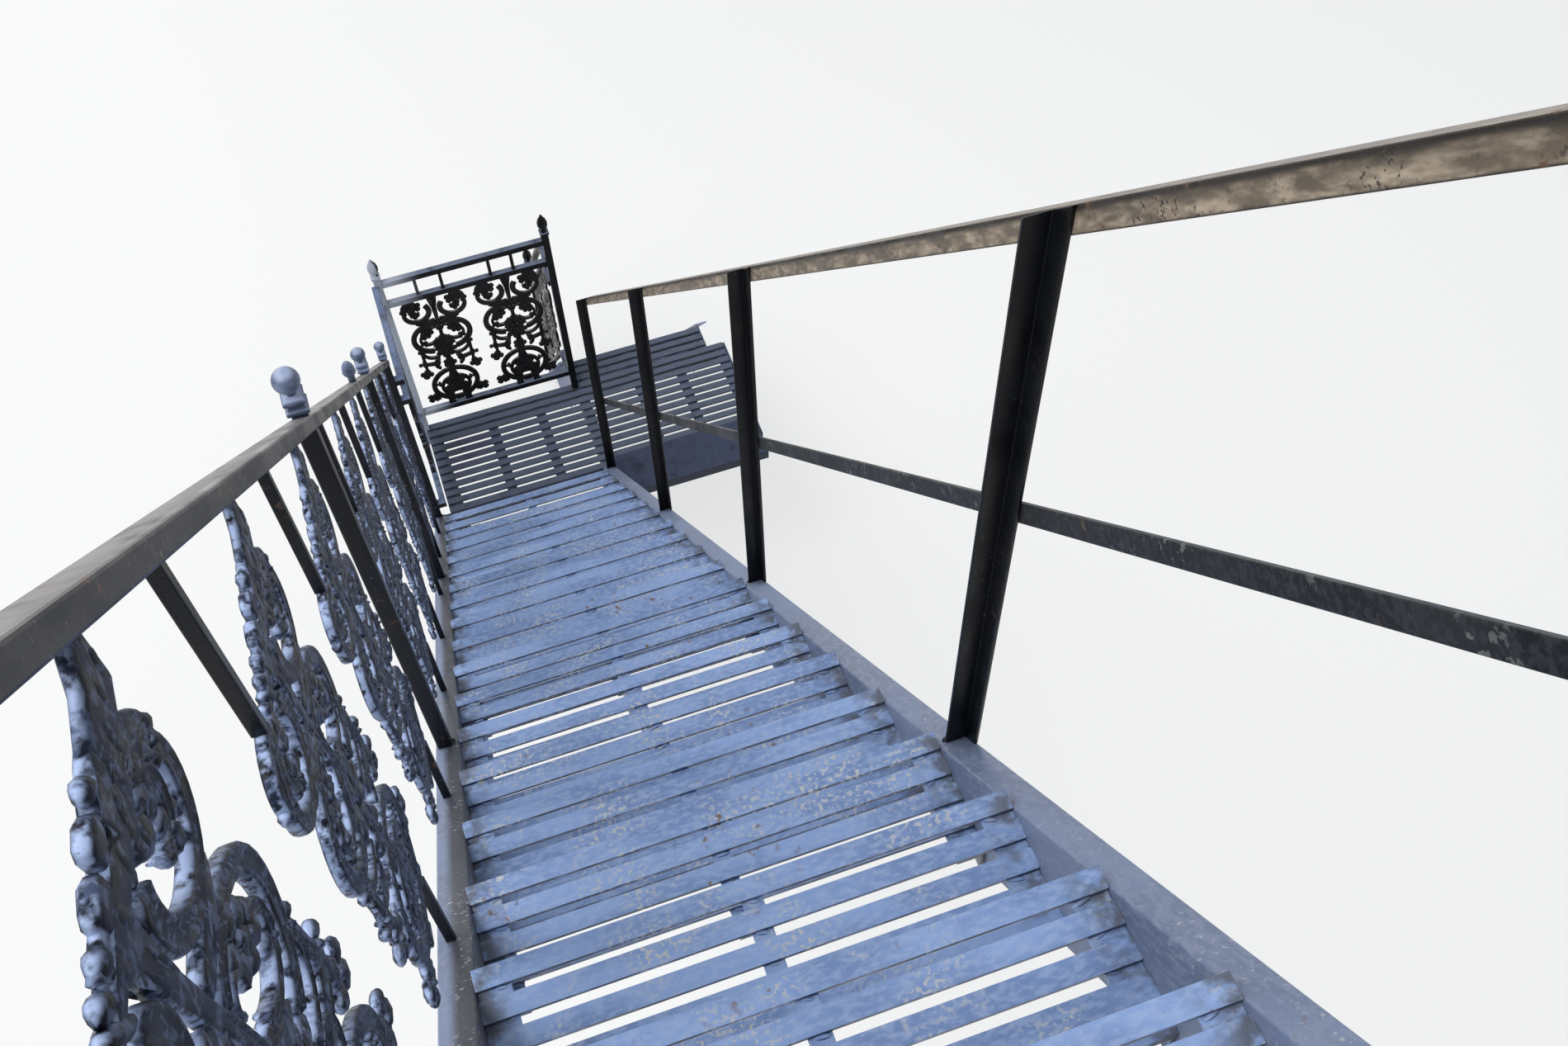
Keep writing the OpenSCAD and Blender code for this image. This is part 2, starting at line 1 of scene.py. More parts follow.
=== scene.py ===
"""Finish and small detail of a straight fire escape stair with scroll-cast guards.

Metres, in the frame of the stair's side plate: +X out of the plate's back, +Y the way the
stair descends, +Z up. The main pieces come from the frame. This script gives them their paint
and wear, hangs the scroll castings and the finials, and adds weld beads and anchor bolts.
"""
import math

import bmesh
import bpy
import numpy as np
from mathutils import Matrix, Vector


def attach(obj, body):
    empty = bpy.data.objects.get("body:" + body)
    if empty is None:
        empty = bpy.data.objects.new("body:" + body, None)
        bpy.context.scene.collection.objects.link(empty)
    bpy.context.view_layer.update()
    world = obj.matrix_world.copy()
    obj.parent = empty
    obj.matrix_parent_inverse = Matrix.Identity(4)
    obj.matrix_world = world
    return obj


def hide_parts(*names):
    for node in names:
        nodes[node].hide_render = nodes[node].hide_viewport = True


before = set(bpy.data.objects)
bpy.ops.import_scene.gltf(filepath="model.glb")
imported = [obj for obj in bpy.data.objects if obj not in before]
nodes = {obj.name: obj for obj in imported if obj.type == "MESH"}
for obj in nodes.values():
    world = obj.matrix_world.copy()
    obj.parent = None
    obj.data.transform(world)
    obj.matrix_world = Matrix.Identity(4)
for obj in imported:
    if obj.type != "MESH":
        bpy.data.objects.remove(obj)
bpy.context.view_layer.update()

# Sizes of the stair, in metres, as its construction has them. Places along and up the stair
# are measured from the landing's near edge and from its deck

RISER = 0.210
GOING = 0.187
UPPER_RISERS = 22
TREADS = UPPER_RISERS - 1
TREAD_WIDTH = 0.644
TREAD_LEFT = -1.300
TREAD_RIGHT = TREAD_LEFT + TREAD_WIDTH
BAR_WIDTH = 0.026
BAR_PITCH = 0.0385
BAR_THICK = 0.008
BARS = 5
FLANGE = 0.043
POST = 0.026
LANDING_LEFT = -1.278
LEFT_SLATS = 12
LONG_SLATS = 15
SHORT_END_Y = (LEFT_SLATS - 1) * BAR_PITCH + BAR_WIDTH
LONG_END_Y = (LONG_SLATS - 1) * BAR_PITCH + BAR_WIDTH
LOWER_LEFT = -0.640
LOWER_RISERS = 4
LOWER_GOING = 0.160

LEFT_RAIL_HEIGHT = 0.967
LEFT_RAIL_SIZE = 0.030
LEFT_POSTS_Y = (-3.744, -2.421, -1.088, -0.018)
GUARD_X = TREAD_LEFT - 0.025
RIGHT_RAIL_HEIGHT = 1.005
RIGHT_RAIL_LEG = 0.038
RIGHT_POSTS_Y = (-3.940, -2.979, -2.036, -1.076, -0.040)

# The landing's near edge and deck in the row's frame, and the ground there
PLATE_CENTRE_Y = 0.198
DECK_Z = 0.070
GROUND_Z = DECK_Z - LOWER_RISERS * RISER

# The turn about X that lays Y along the slope, and where the slope through the right rail's
# top edge crosses the row's origin
RAKE = -math.atan2(RISER, GOING)
RAIL_LIP = DECK_Z + RIGHT_RAIL_HEIGHT - PLATE_CENTRE_Y * RISER / GOING


def slope_z(y):
    """Height of the upper flight's slope line."""
    return -y * RISER / GOING


def placed(x, y, z):
    """A point given from the landing's near edge and deck, in the row's frame."""
    return (x, y - PLATE_CENTRE_Y, z + DECK_Z)


# Camera: it stands at the head of the flight and looks down it

SENSOR_MM = 36.0
LENS_MM = 37.81
NEAREST, FURTHEST = 0.02, 200.0
STANDPOINT = (-1.1331, -4.0263, 5.4347)
CAMERA_RIGHT = (0.9432, -0.3317, -0.0183)
CAMERA_UP = (0.2874, 0.7869, 0.5461)
CAMERA_BACK = (-0.1667, -0.5203, 0.8375)


def set_camera():
    data = bpy.data.cameras.new("standpoint")
    data.sensor_fit = "HORIZONTAL"
    data.sensor_width = SENSOR_MM
    data.lens = LENS_MM
    data.clip_start = NEAREST
    data.clip_end = FURTHEST
    camera = bpy.data.objects.new("standpoint", data)
    bpy.context.scene.collection.objects.link(camera)
    turn = Matrix((CAMERA_RIGHT, CAMERA_UP, CAMERA_BACK)).transposed()
    camera.matrix_world = Matrix.Translation(STANDPOINT) @ turn.to_4x4()
    bpy.context.scene.camera = camera
    bpy.context.scene.view_settings.view_transform = "Standard"


# Paint

# Speckles that all the paint has: size in millimetres, the noise levels at which they start
# and are full, and the noise's detail
CHIP_FIELDS = (95, 0.44, 0.66, 3.0)
STAIN_FIELDS = (210, 0.50, 0.68, 2.0)
# Patches of the darker band along the left channel's inner edge
INNER_BAND_SPOTS = (40, 0.1, 0.4, 4.0)
# Streaks of the painted shade under the right rail's top edge
SHADE_STREAKS = (30, 0.40, 0.60, 4.0)
# Patches of the painted shade at the treads' ends
END_SHADE_SPOTS = (24, 0.36, 0.62, 5.0)

# The same where the size or the levels belong to a material, and the detail of each. A share
# of 1 lowers the levels of chips and rust by their gain, so that more of the surface has them
CHALKED_LEVELS = (0.38, 0.64)
CHIP_LEVELS, CHIP_GAIN = (0.69, 0.74), 0.16
RUST_MM, RUST_LEVELS, RUST_GAIN = 16, (0.66, 0.75), 0.14
PATCH_DETAIL, DUST_AND_LIGHT_DETAIL, BACK_FACE_SHADING_DETAIL, CHIP_DETAIL, RUST_DETAIL = 4.0, 5.0, 2.0, 3.0, 6.0

# How much each finer layer of a noise counts
FINER_SHARE = 0.55

# How much of the dirt shows where paint has soaked it up, and where soot has run
SOAKED_SHARE = 0.55
STREAK_SHARE = 0.6

# Slopes of a face, as a part of its normal, at which a coat starts and is full
LEVEL = 0.98
LOOKS_BACK = (-0.55, -0.97)
UPRIGHT = (0.5, 0.2)
TURNED_FROM_RIGHT = (0.8, 0.4)

# Places across the stair at which a coat starts and is full
INNER_BAND = ((TREAD_LEFT - 0.034, TREAD_LEFT - 0.018), (TREAD_LEFT + 0.020, TREAD_LEFT + 0.010))
TREAD_ENDS = ((TREAD_LEFT + 0.050, TREAD_LEFT + 0.004), (TREAD_RIGHT - 0.060, TREAD_RIGHT - 0.004))
OUTER_END = (LANDING_LEFT + 0.16, LANDING_LEFT + 0.02)

# Depths under the right rail's top edge at which the painted shade starts and is full
LEG_SHADE = (0.028, 0.008)
LIP_SHADE = (0.013, 0.004)
FOOT_SHADE = (RIGHT_RAIL_LEG - 0.004, RIGHT_RAIL_LEG)

# Oil enamel's index. Brush marks lie about 1 mm apart and are drawn coarser than that, so
# that they show. Marks and chips have a depth in metres and a strength
ENAMEL_IOR = 1.48
BRUSH_MM, BRUSH_DETAIL = 3.5, 3.0
BRUSH_DEEP, BRUSH_STRENGTH = 0.0006, 0.35
CHIP_DEEP, CHIP_STRENGTH = 0.0008, 0.5


def linear(code):
    """A linear RGBA colour from an sRGB hex code."""
    channels = [int(code[i:i + 2], 16) / 255 for i in (1, 3, 5)]
    return [c / 12.92 if c <= 0.04045 else ((c + 0.055) / 1.055) ** 2.4 for c in channels] + [1]


def add(tree, kind, inputs=None, **settings):
    """One node, with its settings, and its inputs given as values or as other sockets."""
    made = tree.nodes.new(kind)
    for name, value in settings.items():
        setattr(made, name, value)
    for key, value in (inputs or {}).items():
        socket = made.inputs[key]
        if isinstance(value, bpy.types.NodeSocket):
            tree.links.new(value, socket)
        else:
            socket.default_value = value
    return made


def speckle(tree, where, size_mm, low, high, detail, longer=(1, 1, 1), tilt=0.0):
    """A 0 to 1 mask of spots about size_mm across, between two noise levels. They are longer
    along an axis as often as longer says, with Y and Z turned by tilt about X first."""
    moved = add(tree, "ShaderNodeMapping",
                {"Vector": where, "Rotation": (tilt, 0, 0), "Scale": longer},
                vector_type="TEXTURE")
    noise = add(tree, "ShaderNodeTexNoise",
                {"Vector": moved.outputs[0], "Scale": 1000 / size_mm, "Detail": detail,
                 "Roughness": FINER_SHARE})
    step = add(tree, "ShaderNodeMapRange",
               {"Value": noise.outputs[0], "From Min": low, "From Max": high},
               interpolation_type="SMOOTHSTEP")
    return step.outputs[0]


def lay(tree, below, above, *masks):
    """One coat's colour laid over another's where every mask is 1. A mask is a socket, a
    share, or (socket, start, end), which rises from 0 at start to 1 at end."""
    covered = None
    for mask in masks:
        if isinstance(mask, tuple):
            value, start, end = mask
            mask = add(tree, "ShaderNodeMapRange",
                       {"Value": value, "From Min": start, "From Max": end},
                       interpolation_type="SMOOTHSTEP").outputs[0]
        if covered is not None:
            mask = add(tree, "ShaderNodeMath", {0: covered, 1: mask},
                       operation="MULTIPLY").outputs[0]
        covered = mask
    below, above = (linear(coat) if isinstance(coat, str) else coat for coat in (below, above))
    # A colour mix takes its share at input 0 and its colours at 6 and 7, and gives output 2
    return add(tree, "ShaderNodeMix", {0: covered, 6: below, 7: above},
               data_type="RGBA").outputs[2]


def brushed_enamel(name, coat, faded, chip, rust, chip_share=0.5, rust_share=0.5, chip_mm=7,
                   patch_mm=160, rough=(0.38, 0.62), dust_and_top_light=None, dust_and_top_light_from=0.55, stringer_shade=None,
                   edge=None, film=(45, 0.18, 0.55), mottle=None, painted_sunlight=None, inner_band=None,
                   clouds=(7, 0.42, 0.62), lip_and_foot_shade=None, longer=(1, 1, 1), tilt=0.0, shine=0.4):
    """Oil enamel brushed on mild steel and weathered, with painted light and shade.

    coat and faded are the paint where it is fresh and where the sun has chalked it, in patches
    of patch_mm, and rough is how rough each is. chip is the undercoat that scuffs of chip_mm
    show, and rust the stain at the worst spots. longer and tilt run the patches along the
    brush strokes. The other coats are laid only where they are given:
    mottle is the cloudiness of a soiled coat, in clouds (size, levels)
    dust is a dusty haze with painted top light on faces that look up by more than
    dust_and_top_light_from, broken up by film (size, levels)
    edge is painted light and shade on faces that look back up the stair, broken up by film
    gutter is a darker band along the left channel's inner edge
    soot is painted shade on the right rail's upright leg, below its top edge and at its foot
    chalk is painted sunlight at the landing's outer end, on faces not turned to the right
    grime is painted shade of the stringers, in patches at the treads' ends
    """
    made = bpy.data.materials.new(name)
    made.use_nodes = True
    tree = made.node_tree
    tree.nodes.clear()
    place = add(tree, "ShaderNodeTexCoord")
    where = place.outputs["Object"]
    facing = add(tree, "ShaderNodeSeparateXYZ", {0: place.outputs["Normal"]}).outputs
    point = add(tree, "ShaderNodeSeparateXYZ", {0: where}).outputs

    chalked = speckle(tree, where, patch_mm, *CHALKED_LEVELS, PATCH_DETAIL, longer, tilt)
    colour = lay(tree, coat, faded, chalked)
    if mottle:
        soaked = speckle(tree, where, *clouds, PATCH_DETAIL, longer, tilt)
        colour = lay(tree, colour, mottle, soaked, SOAKED_SHARE)
    # Dust with painted top light on the faces that look up
    if dust_and_top_light:
        colour = lay(tree, colour, dust_and_top_light, (facing["Z"], dust_and_top_light_from, LEVEL),
                     speckle(tree, where, *film, DUST_AND_LIGHT_DETAIL))
    # Painted light on faces that look back up the stair, painted shade where the colour is darker
    if edge:
        colour = lay(tree, colour, edge, (facing["Y"], *LOOKS_BACK),
                     speckle(tree, where, *film, BACK_FACE_SHADING_DETAIL))
    # A darker band along the left channel's inner edge, in patches
    if inner_band:
        outer, inner = INNER_BAND
        colour = lay(tree, colour, inner_band, (point["X"], *outer), (point["X"], *inner),
                     speckle(tree, where, *INNER_BAND_SPOTS))
    # Painted shadow under the rail's top edge, streaked down its leg, and painted shade at its
    # foot
    if lip_and_foot_shade:
        along = add(tree, "ShaderNodeMath", {0: point["Y"], 1: RISER / GOING, 2: point["Z"]},
                    operation="MULTIPLY_ADD")
        depth = add(tree, "ShaderNodeMath", {0: RAIL_LIP, 1: along.outputs[0]},
                    operation="SUBTRACT").outputs[0]
        upright = (facing["Z"], *UPRIGHT)
        streaks = speckle(tree, where, *SHADE_STREAKS, longer, tilt)
        colour = lay(tree, colour, lip_and_foot_shade, upright, (depth, *LEG_SHADE), streaks, STREAK_SHARE)
        for reach in (LIP_SHADE, FOOT_SHADE):
            colour = lay(tree, colour, lip_and_foot_shade, upright, (depth, *reach))
    # Painted sunlight at the landing's outer end, not on faces turned to the right
    if painted_sunlight:
        colour = lay(tree, colour, painted_sunlight, (point["X"], *OUTER_END),
                     (facing["X"], *TURNED_FROM_RIGHT))

    scuffs = speckle(tree, where, chip_mm, *(v - CHIP_GAIN * chip_share for v in CHIP_LEVELS),
                     CHIP_DETAIL)
    chips = add(tree, "ShaderNodeMath", {0: speckle(tree, where, *CHIP_FIELDS), 1: scuffs},
                operation="MULTIPLY").outputs[0]
    colour = lay(tree, colour, chip, chips)
    spots = speckle(tree, where, RUST_MM, *(v - RUST_GAIN * rust_share for v in RUST_LEVELS),
                    RUST_DETAIL)
    colour = lay(tree, colour, rust, speckle(tree, where, *STAIN_FIELDS), spots)
    # Painted shade of the stringer webs darkens the treads towards their ends, in patches
    if stringer_shade:
        shade_patches = speckle(tree, where, *END_SHADE_SPOTS)
        for reach in TREAD_ENDS:
            colour = lay(tree, colour, stringer_shade, (point["X"], *reach), shade_patches)

    gloss = add(tree, "ShaderNodeMapRange",
                {"Value": chalked, "To Min": rough[0], "To Max": rough[1]})
    marks = add(tree, "ShaderNodeTexNoise",
                {"Vector": where, "Scale": 1000 / BRUSH_MM, "Detail": BRUSH_DETAIL})
    swell = add(tree, "ShaderNodeBump",
                {"Height": marks.outputs[0], "Strength": BRUSH_STRENGTH,
                 "Distance": BRUSH_DEEP})
    pits = add(tree, "ShaderNodeBump",
               {"Height": chips, "Strength": CHIP_STRENGTH, "Distance": CHIP_DEEP,
                "Normal": swell.outputs[0]}, invert=True)
    shader = add(tree, "ShaderNodeBsdfPrincipled",
                 {"Base Color": colour, "Roughness": gloss.outputs[0],
                  "Normal": pits.outputs[0], "Metallic": 0.0, "IOR": ENAMEL_IOR,
                  "Specular IOR Level": shine})
    add(tree, "ShaderNodeOutputMaterial", {"Surface": shader.outputs[0]})
    return made


# Foot traffic scuffs the treads' enamel down to pale spots and leaves it soft blue-grey, and
# painted shade of the stringers darkens their ends, so each tread looks lighter along its middle
# Painted shade darkens the bars' faces that look back up the stair, between the bars
tread_enamel = brushed_enamel(
    "scuffed_blue_grey_enamel", "#6a82ad", "#839cc8", "#adb1b8", "#71594a",
    chip_share=1.0, rust_share=0.35, patch_mm=80, rough=(0.34, 0.6),
    stringer_shade="#545a67", mottle="#95a7c8", edge="#35415b", longer=(2.2, 1, 1), shine=0.3)
# The channels were painted with the treads but aren't walked on: dust, painted top light and rain
# marks along their flanges make them greyer and duller
# A darker band runs along the left channel's inner edge
stringer_enamel = brushed_enamel(
    "dusty_top_lit_blue_grey_enamel", "#5c6984", "#7f8ca8", "#a0a4ad", "#6f5a48",
    chip_share=0.5, rust_share=0.4, patch_mm=200, rough=(0.4, 0.65),
    dust_and_top_light="#8a96b0", mottle="#7f899f", inner_band="#3c3f47", longer=(1, 3, 1), tilt=RAKE, shine=0.3)
# An older, darker enamel on the landing's slats, which dirt has clouded along the brush strokes
# Painted light pales the slats' tops, with dust, and their faces that look back up the stair
landing_enamel = brushed_enamel(
    "dark_slate_enamel", "#2b3140", "#4a5160", "#6e7482", "#4b3f38",
    chip_share=0.5, rust_share=0.4, patch_mm=140, rough=(0.34, 0.6), dust_and_top_light="#545b6c",
    edge="#3c4352", mottle="#5b6271", longer=(2.5, 1, 1), shine=0.2)
# The same age of paint on flat sheet: even and nearly navy, with a thin haze of dust and painted
# top light
edge_plate_enamel = brushed_enamel(
    "navy_slate_enamel", "#1f2433", "#303749", "#596070", "#453a34",
    chip_share=0.4, rust_share=0.3, rough=(0.34, 0.6), dust_and_top_light="#384055", shine=0.2)
# Rolled angles and plates under the deck: blue-black, matt, with more rust where water stands
frame_enamel = brushed_enamel(
    "black_blue_enamel", "#191c26", "#2c3242", "#596275", "#5a4336",
    chip_share=0.4, rust_share=0.6, rough=(0.4, 0.6), dust_and_top_light="#3d465a", shine=0.2)
# Upright angles keep their black gloss, because dust finds no hold on them
post_enamel = brushed_enamel(
    "black_enamel", "#050608", "#0d0f12", "#3c3d40", "#41332b",
    chip_share=0.25, rust_share=0.3, rough=(0.3, 0.5), dust_and_top_light="#2b2d31", shine=0.15)
# The middle rail's flat bar is knocked more often: grey-black, with large pale chips
mid_rail_enamel = brushed_enamel(
    "grey_black_enamel", "#131417", "#25262a", "#6f716f", "#55493f",
    chip_share=0.7, rust_share=0.4, chip_mm=10, rough=(0.35, 0.55), dust_and_top_light="#5a5e65",
    mottle="#34363a", shine=0.15)
# Bare angle iron on which the paint has gone: brown patina with paler rubbed streaks along it,
# dust and painted light on its top faces, painted shade under its top edge and at its leg's foot
weathered_rail = brushed_enamel(
    "weathered_angle_iron", "#5b5145", "#a29482", "#2f2a26", "#5a4232",
    chip_share=0.6, rust_share=0.6, chip_mm=5, patch_mm=13, rough=(0.42, 0.65),
    dust_and_top_light="#97989b", dust_and_top_light_from=0.45, mottle="#63584b", lip_and_foot_shade="#221e1a", longer=(1, 4, 1),
    tilt=RAKE, shine=0.25)
# Use has polished the left rail dark and smooth on its sides; painted highlight in warm grey on
# top
left_rail_enamel = brushed_enamel(
    "worn_charcoal_enamel", "#0b0d13", "#1b1e27", "#6f6a66", "#734a34",
    chip_share=0.5, rust_share=0.75, patch_mm=60, rough=(0.25, 0.45), dust_and_top_light="#8c8988",
    dust_and_top_light_from=0.3, longer=(1, 3, 1), tilt=RAKE, shine=0.1)
# Turned balls take the treads' enamel thickly; a soft painted highlight lies on their round tops
finial_enamel = brushed_enamel(
    "finial_blue_grey_enamel", "#48536a", "#717e9a", "#8b909a", "#5f4b40",
    chip_share=0.35, rust_share=0.4, patch_mm=40, rough=(0.35, 0.55), dust_and_top_light="#939fba", shine=0.35)
# Square bars of the left guard: blue-black; dust and painted top light only on their level faces
bar_enamel = brushed_enamel(
    "guard_bar_enamel", "#0b0d12", "#181b23", "#59616f", "#584337",
    chip_share=0.3, rust_share=0.4, rough=(0.32, 0.55), dust_and_top_light="#6b7893", dust_and_top_light_from=0.85,
    shine=0.12)
# Bars of the landing's guards: glossy black, with pale grey painted sunlight at the outer end
far_bar_enamel = brushed_enamel(
    "black_guard_bar_enamel", "#060709", "#111217", "#4f5156", "#463830",
    chip_share=0.3, rust_share=0.3, rough=(0.3, 0.5), dust_and_top_light="#656d80", dust_and_top_light_from=0.8,
    painted_sunlight="#a3a9b6", shine=0.15)
# Sand-cast iron under many coats: dark navy, with rubbed chips, and chalk blue painted light on
# the faces that look up and on those that look back up the stair
casting_enamel = brushed_enamel(
    "chalked_and_lit_cast_iron_enamel", "#070a12", "#1b2233", "#66728c", "#42362e",
    chip_share=0.6, rust_share=0.3, chip_mm=6, patch_mm=28, rough=(0.35, 0.55),
    dust_and_top_light="#9cacce", dust_and_top_light_from=0.35, edge="#96a7ca", film=(11, 0.36, 0.58), mottle="#596685",
    clouds=(9, 0.50, 0.63), shine=0.12)
# The landing's castings are less weathered: their black gloss shows each form by a highlight,
# helped by painted light on the faces that look up
far_casting_enamel = brushed_enamel(
    "glossy_black_cast_iron_enamel", "#050506", "#0f1012", "#4c4a46", "#3f332b",
    chip_share=0.3, rust_share=0.3, chip_mm=6, patch_mm=35, rough=(0.22, 0.4),
    dust_and_top_light="#5e5e5d", dust_and_top_light_from=0.7, film=(16, 0.35, 0.6), shine=0.2)


def dress(material, *names):
    """Paints the frame's own pieces."""
    for name in names:
        for place in nodes[name].material_slots:
            place.material = material


tread_names = [f"tread_{j:02d}" for j in range(1, TREADS + 1)]
dress(tread_enamel, *tread_names, "lower_treads")
dress(stringer_enamel, "upper_stringer_left", "upper_stringer_right", "lower_stringers")
dress(landing_enamel, "landing_slats")
dress(edge_plate_enamel, "landing_edge_plate")
dress(frame_enamel, "landing_frame", "landing_wall_plate", "landing_legs", "top_wall_plate")
dress(post_enamel, "right_posts")
dress(mid_rail_enamel, "right_mid_rail")
dress(weathered_rail, "right_handrail")
dress(left_rail_enamel, "left_handrail")
dress(finial_enamel, "left_finials")
dress(bar_enamel, "left_posts", "left_pickets", "side_guard")
dress(far_bar_enamel, "far_guard_posts", "far_guard_rails", "lower_guard_frame")
dress(casting_enamel, "left_castings")
dress(far_casting_enamel, "far_guard_castings", "lower_guard_castings")

# Rounds on rolled bars, on rails and plates, and on the finials' caps, and the turn in degrees
# past which a corner is rounded. A frame node's loose triangles are joined first
BAR_ROUND = 0.0012
RAIL_ROUND = 0.0025
CAP_ROUND = 0.0012
NODE_CORNER = 40
CAP_CORNER = 25
JOIN_GAP = 0.00002


def round_corners(piece, width, corner):
    rounded = piece.modifiers.new("rounded", "BEVEL")
    rounded.width = width
    rounded.segments = 2
    rounded.limit_method = "ANGLE"
    rounded.angle_limit = math.radians(corner)


def soften(width, *names):
    """Rolled steel has no knife edges: a small round on a frame node's corners."""
    for name in names:
        joined = nodes[name].modifiers.new("joined", "WELD")
        joined.merge_threshold = JOIN_GAP
        round_corners(nodes[name], width, NODE_CORNER)


# Scroll castings: fluted scrolls, lobed leaves, blades and a rosette, modelled once in steps
# of 210 mm and then stretched to each place in the guards

# The step in metres, and in steps the pattern's height, its half width, how far out its top
# pads reach, and the height about which it leans
UNIT = 0.210
PATTERN_HEIGHT = 3.07
PATTERN_HALF = 0.62
PAD_REACH = 0.45
LEAN_MIDDLE = 1.6
# Half a scroll's thickness in metres, of which the depths below are shares, the gap where a
# casting meets a rail, and the height of a raked casting's foot over the slope line
CAST_HALF = 0.0057
SEAT_GAP = 0.0003
CASTING_BASE = 0.135

# Stretch along the guard, height scale, fall along the guard, and lean
RAKED_WARP = (1.15, 1.05, 0.38, 0.08)


def rail_v(u):
    """In the pattern of a raked casting, where the underside of the rail crosses u."""
    stretch, tall, fall, lean = RAKED_WARP
    slope = RISER / GOING
    height = (LEFT_RAIL_HEIGHT - LEFT_RAIL_SIZE - SEAT_GAP - CASTING_BASE) / UNIT
    return ((height - slope * lean * LEAN_MIDDLE - stretch * u * (slope - fall))
            / (tall - slope * lean))


# Across a scroll, from its outer to its inner edge: (place, height over the middle plane)
FLUTED = ((-1, 0.5), (-0.88, 0.9), (-0.62, 1.0), (-0.34, 0.66), (0, 0.96), (0.34, 0.66),
          (0.62, 1.0), (0.88, 0.9), (1, 0.5))
ROUNDED = ((-1, 0.4), (-0.7, 0.82), (0, 1.0), (0.7, 0.82), (1, 0.4))
# A scroll wider than this has flutes. It takes a ring every few degrees, and two narrow rings
# a part of a step beyond its ends round them off
FLUTES_FROM = 0.055
RING_DEGREES = 11
FEWEST_RINGS = 8
END_STEP = 0.25
END_SHARE = 0.55

# An egg-shaped knob: its rings and sides, the step from its pole to its first ring, its girth
# at the middle, how much that gains towards the tip, and how deep ribs and beads are
KNOB_RINGS = 7
KNOB_SIDES = 8
KNOB_POLE = 0.35
KNOB_GIRTH, KNOB_GAIN = 1.12, 0.3
RIB_DEEP = 1.12
CREST_RIB_DEEP = 1.05
BEAD_DEEP = 0.9

# A leaf's lobes and boss, as shares of its size: how far out the lobes sit, how long they
# are, how wide one and all together may be, and the boss's reach
LOBE_REACH = 0.60
LOBE_LENGTH = 0.52
LOBE_WIDEST = 0.5
LOBES_ROUND = 2.1
LOBE_DEEP = 0.98
BOSS_SIZE = 0.30
BOSS_DEEP = 1.28

# Through a blade, from its front to its back: how far its outline draws in, and its height
PILLOW = ((0.55, 0.92), (0.18, 0.82), (0.0, 0.5), (0.0, -0.5), (0.18, -0.82), (0.55, -0.92))

# Centre, first and last radius, first and last angle, first and last width
SCROLLS = {
    "top scroll": ((0.34, 2.71), 0.232, 0.240, -215, 75, 0.110, 0.075),
    "top inner curl": ((0.35, 2.76), 0.140, 0.07, 70, -140, 0.070, 0.050),
    "hook": ((0.42, 2.82), 0.20, 0.16, 110, -10, 0.095, 0.055),
    "side scroll": ((0.17, 1.97), 0.378, 0.358, -82, 112, 0.118, 0.090),
    "side inner curl": ((0.28, 1.97), 0.19, 0.11, -165, 70, 0.074, 0.050),
    "heart curl": ((0.10, 2.17), 0.075, 0.05, -60, 200, 0.042, 0.036),
    "lower curve": ((0.24, 1.62), 0.22, 0.20, -112, 30, 0.068, 0.050),
    "rosette curl": ((0.14, 1.22), 0.15, 0.12, -70, 80, 0.060, 0.050),
    "bottom ring": ((0, 0.56), 0.430, 0.430, -96, 90, 0.104, 0.100),
    "bottom inner ring": ((0, 0.50), 0.28, 0.26, -70, 90, 0.080, 0.066),
}
# Centre, size, number of lobes, turn
LEAVES = {
    "hook leaf": ((0.56, 2.80), 0.078, 3, 20),
    "scroll eye": ((0.38, 2.66), 0.085, 4, 0),
    "side leaf": ((0.30, 2.06), 0.10, 4, 30),
    "side bud": ((0.36, 1.84), 0.075, 3, 0),
    "curve tip": ((0.46, 1.63), 0.075, 3, 10),
    "small cross leaf": ((0.50, 1.29), 0.085, 3, 0),
    "large cross leaf": ((0.49, 0.99), 0.12, 4, 15),
    "bottom tip": ((0.50, 0.27), 0.12, 4, 40),
    "ring bud": ((0.33, 0.62), 0.06, 3, 0),
    "top mass": ((0.36, 2.88), 0.13, 5, 10),
    "side mass": ((0.25, 2.16), 0.12, 5, 0),
    "skirt leaf": ((0.14, 0.42), 0.10, 4, 20),
}
MIDDLE_LEAVES = {
    "heart leaf": ((0, 1.55), 0.20, 7, 0),
    "rosette": ((0, 1.16), 0.125, 5, 0),
    "palmette": ((0, 0.50), 0.21, 7, 90),
}
BLADES = {
    "ear": ((0.03, 2.38), (0.28, 2.32), (0.42, 2.40), (0.30, 2.45), (0.05, 2.47)),
    "heart blade": ((0.0, 2.02), (0.17, 1.86), (0.22, 1.70), (0.12, 1.66), (0.0, 1.78)),
    "side stem": ((0.43, 0.98), (0.49, 0.98), (0.50, 1.62), (0.43, 1.62)),
    "cross stem": ((0.20, 1.16), (0.50, 1.24), (0.50, 1.32), (0.16, 1.26)),
    "bottom stem": ((0.36, 0.18), (0.52, 0.22), (0.50, 0.32), (0.36, 0.30)),
    "foot": ((0.10, 0), (0.24, 0), (0.23, 0.16), (0.11, 0.18)),
    "pad": ((0.33, 2.96), (PAD_REACH, 2.96), (PAD_REACH, PATTERN_HEIGHT), (0.33, PATTERN_HEIGHT)),
}
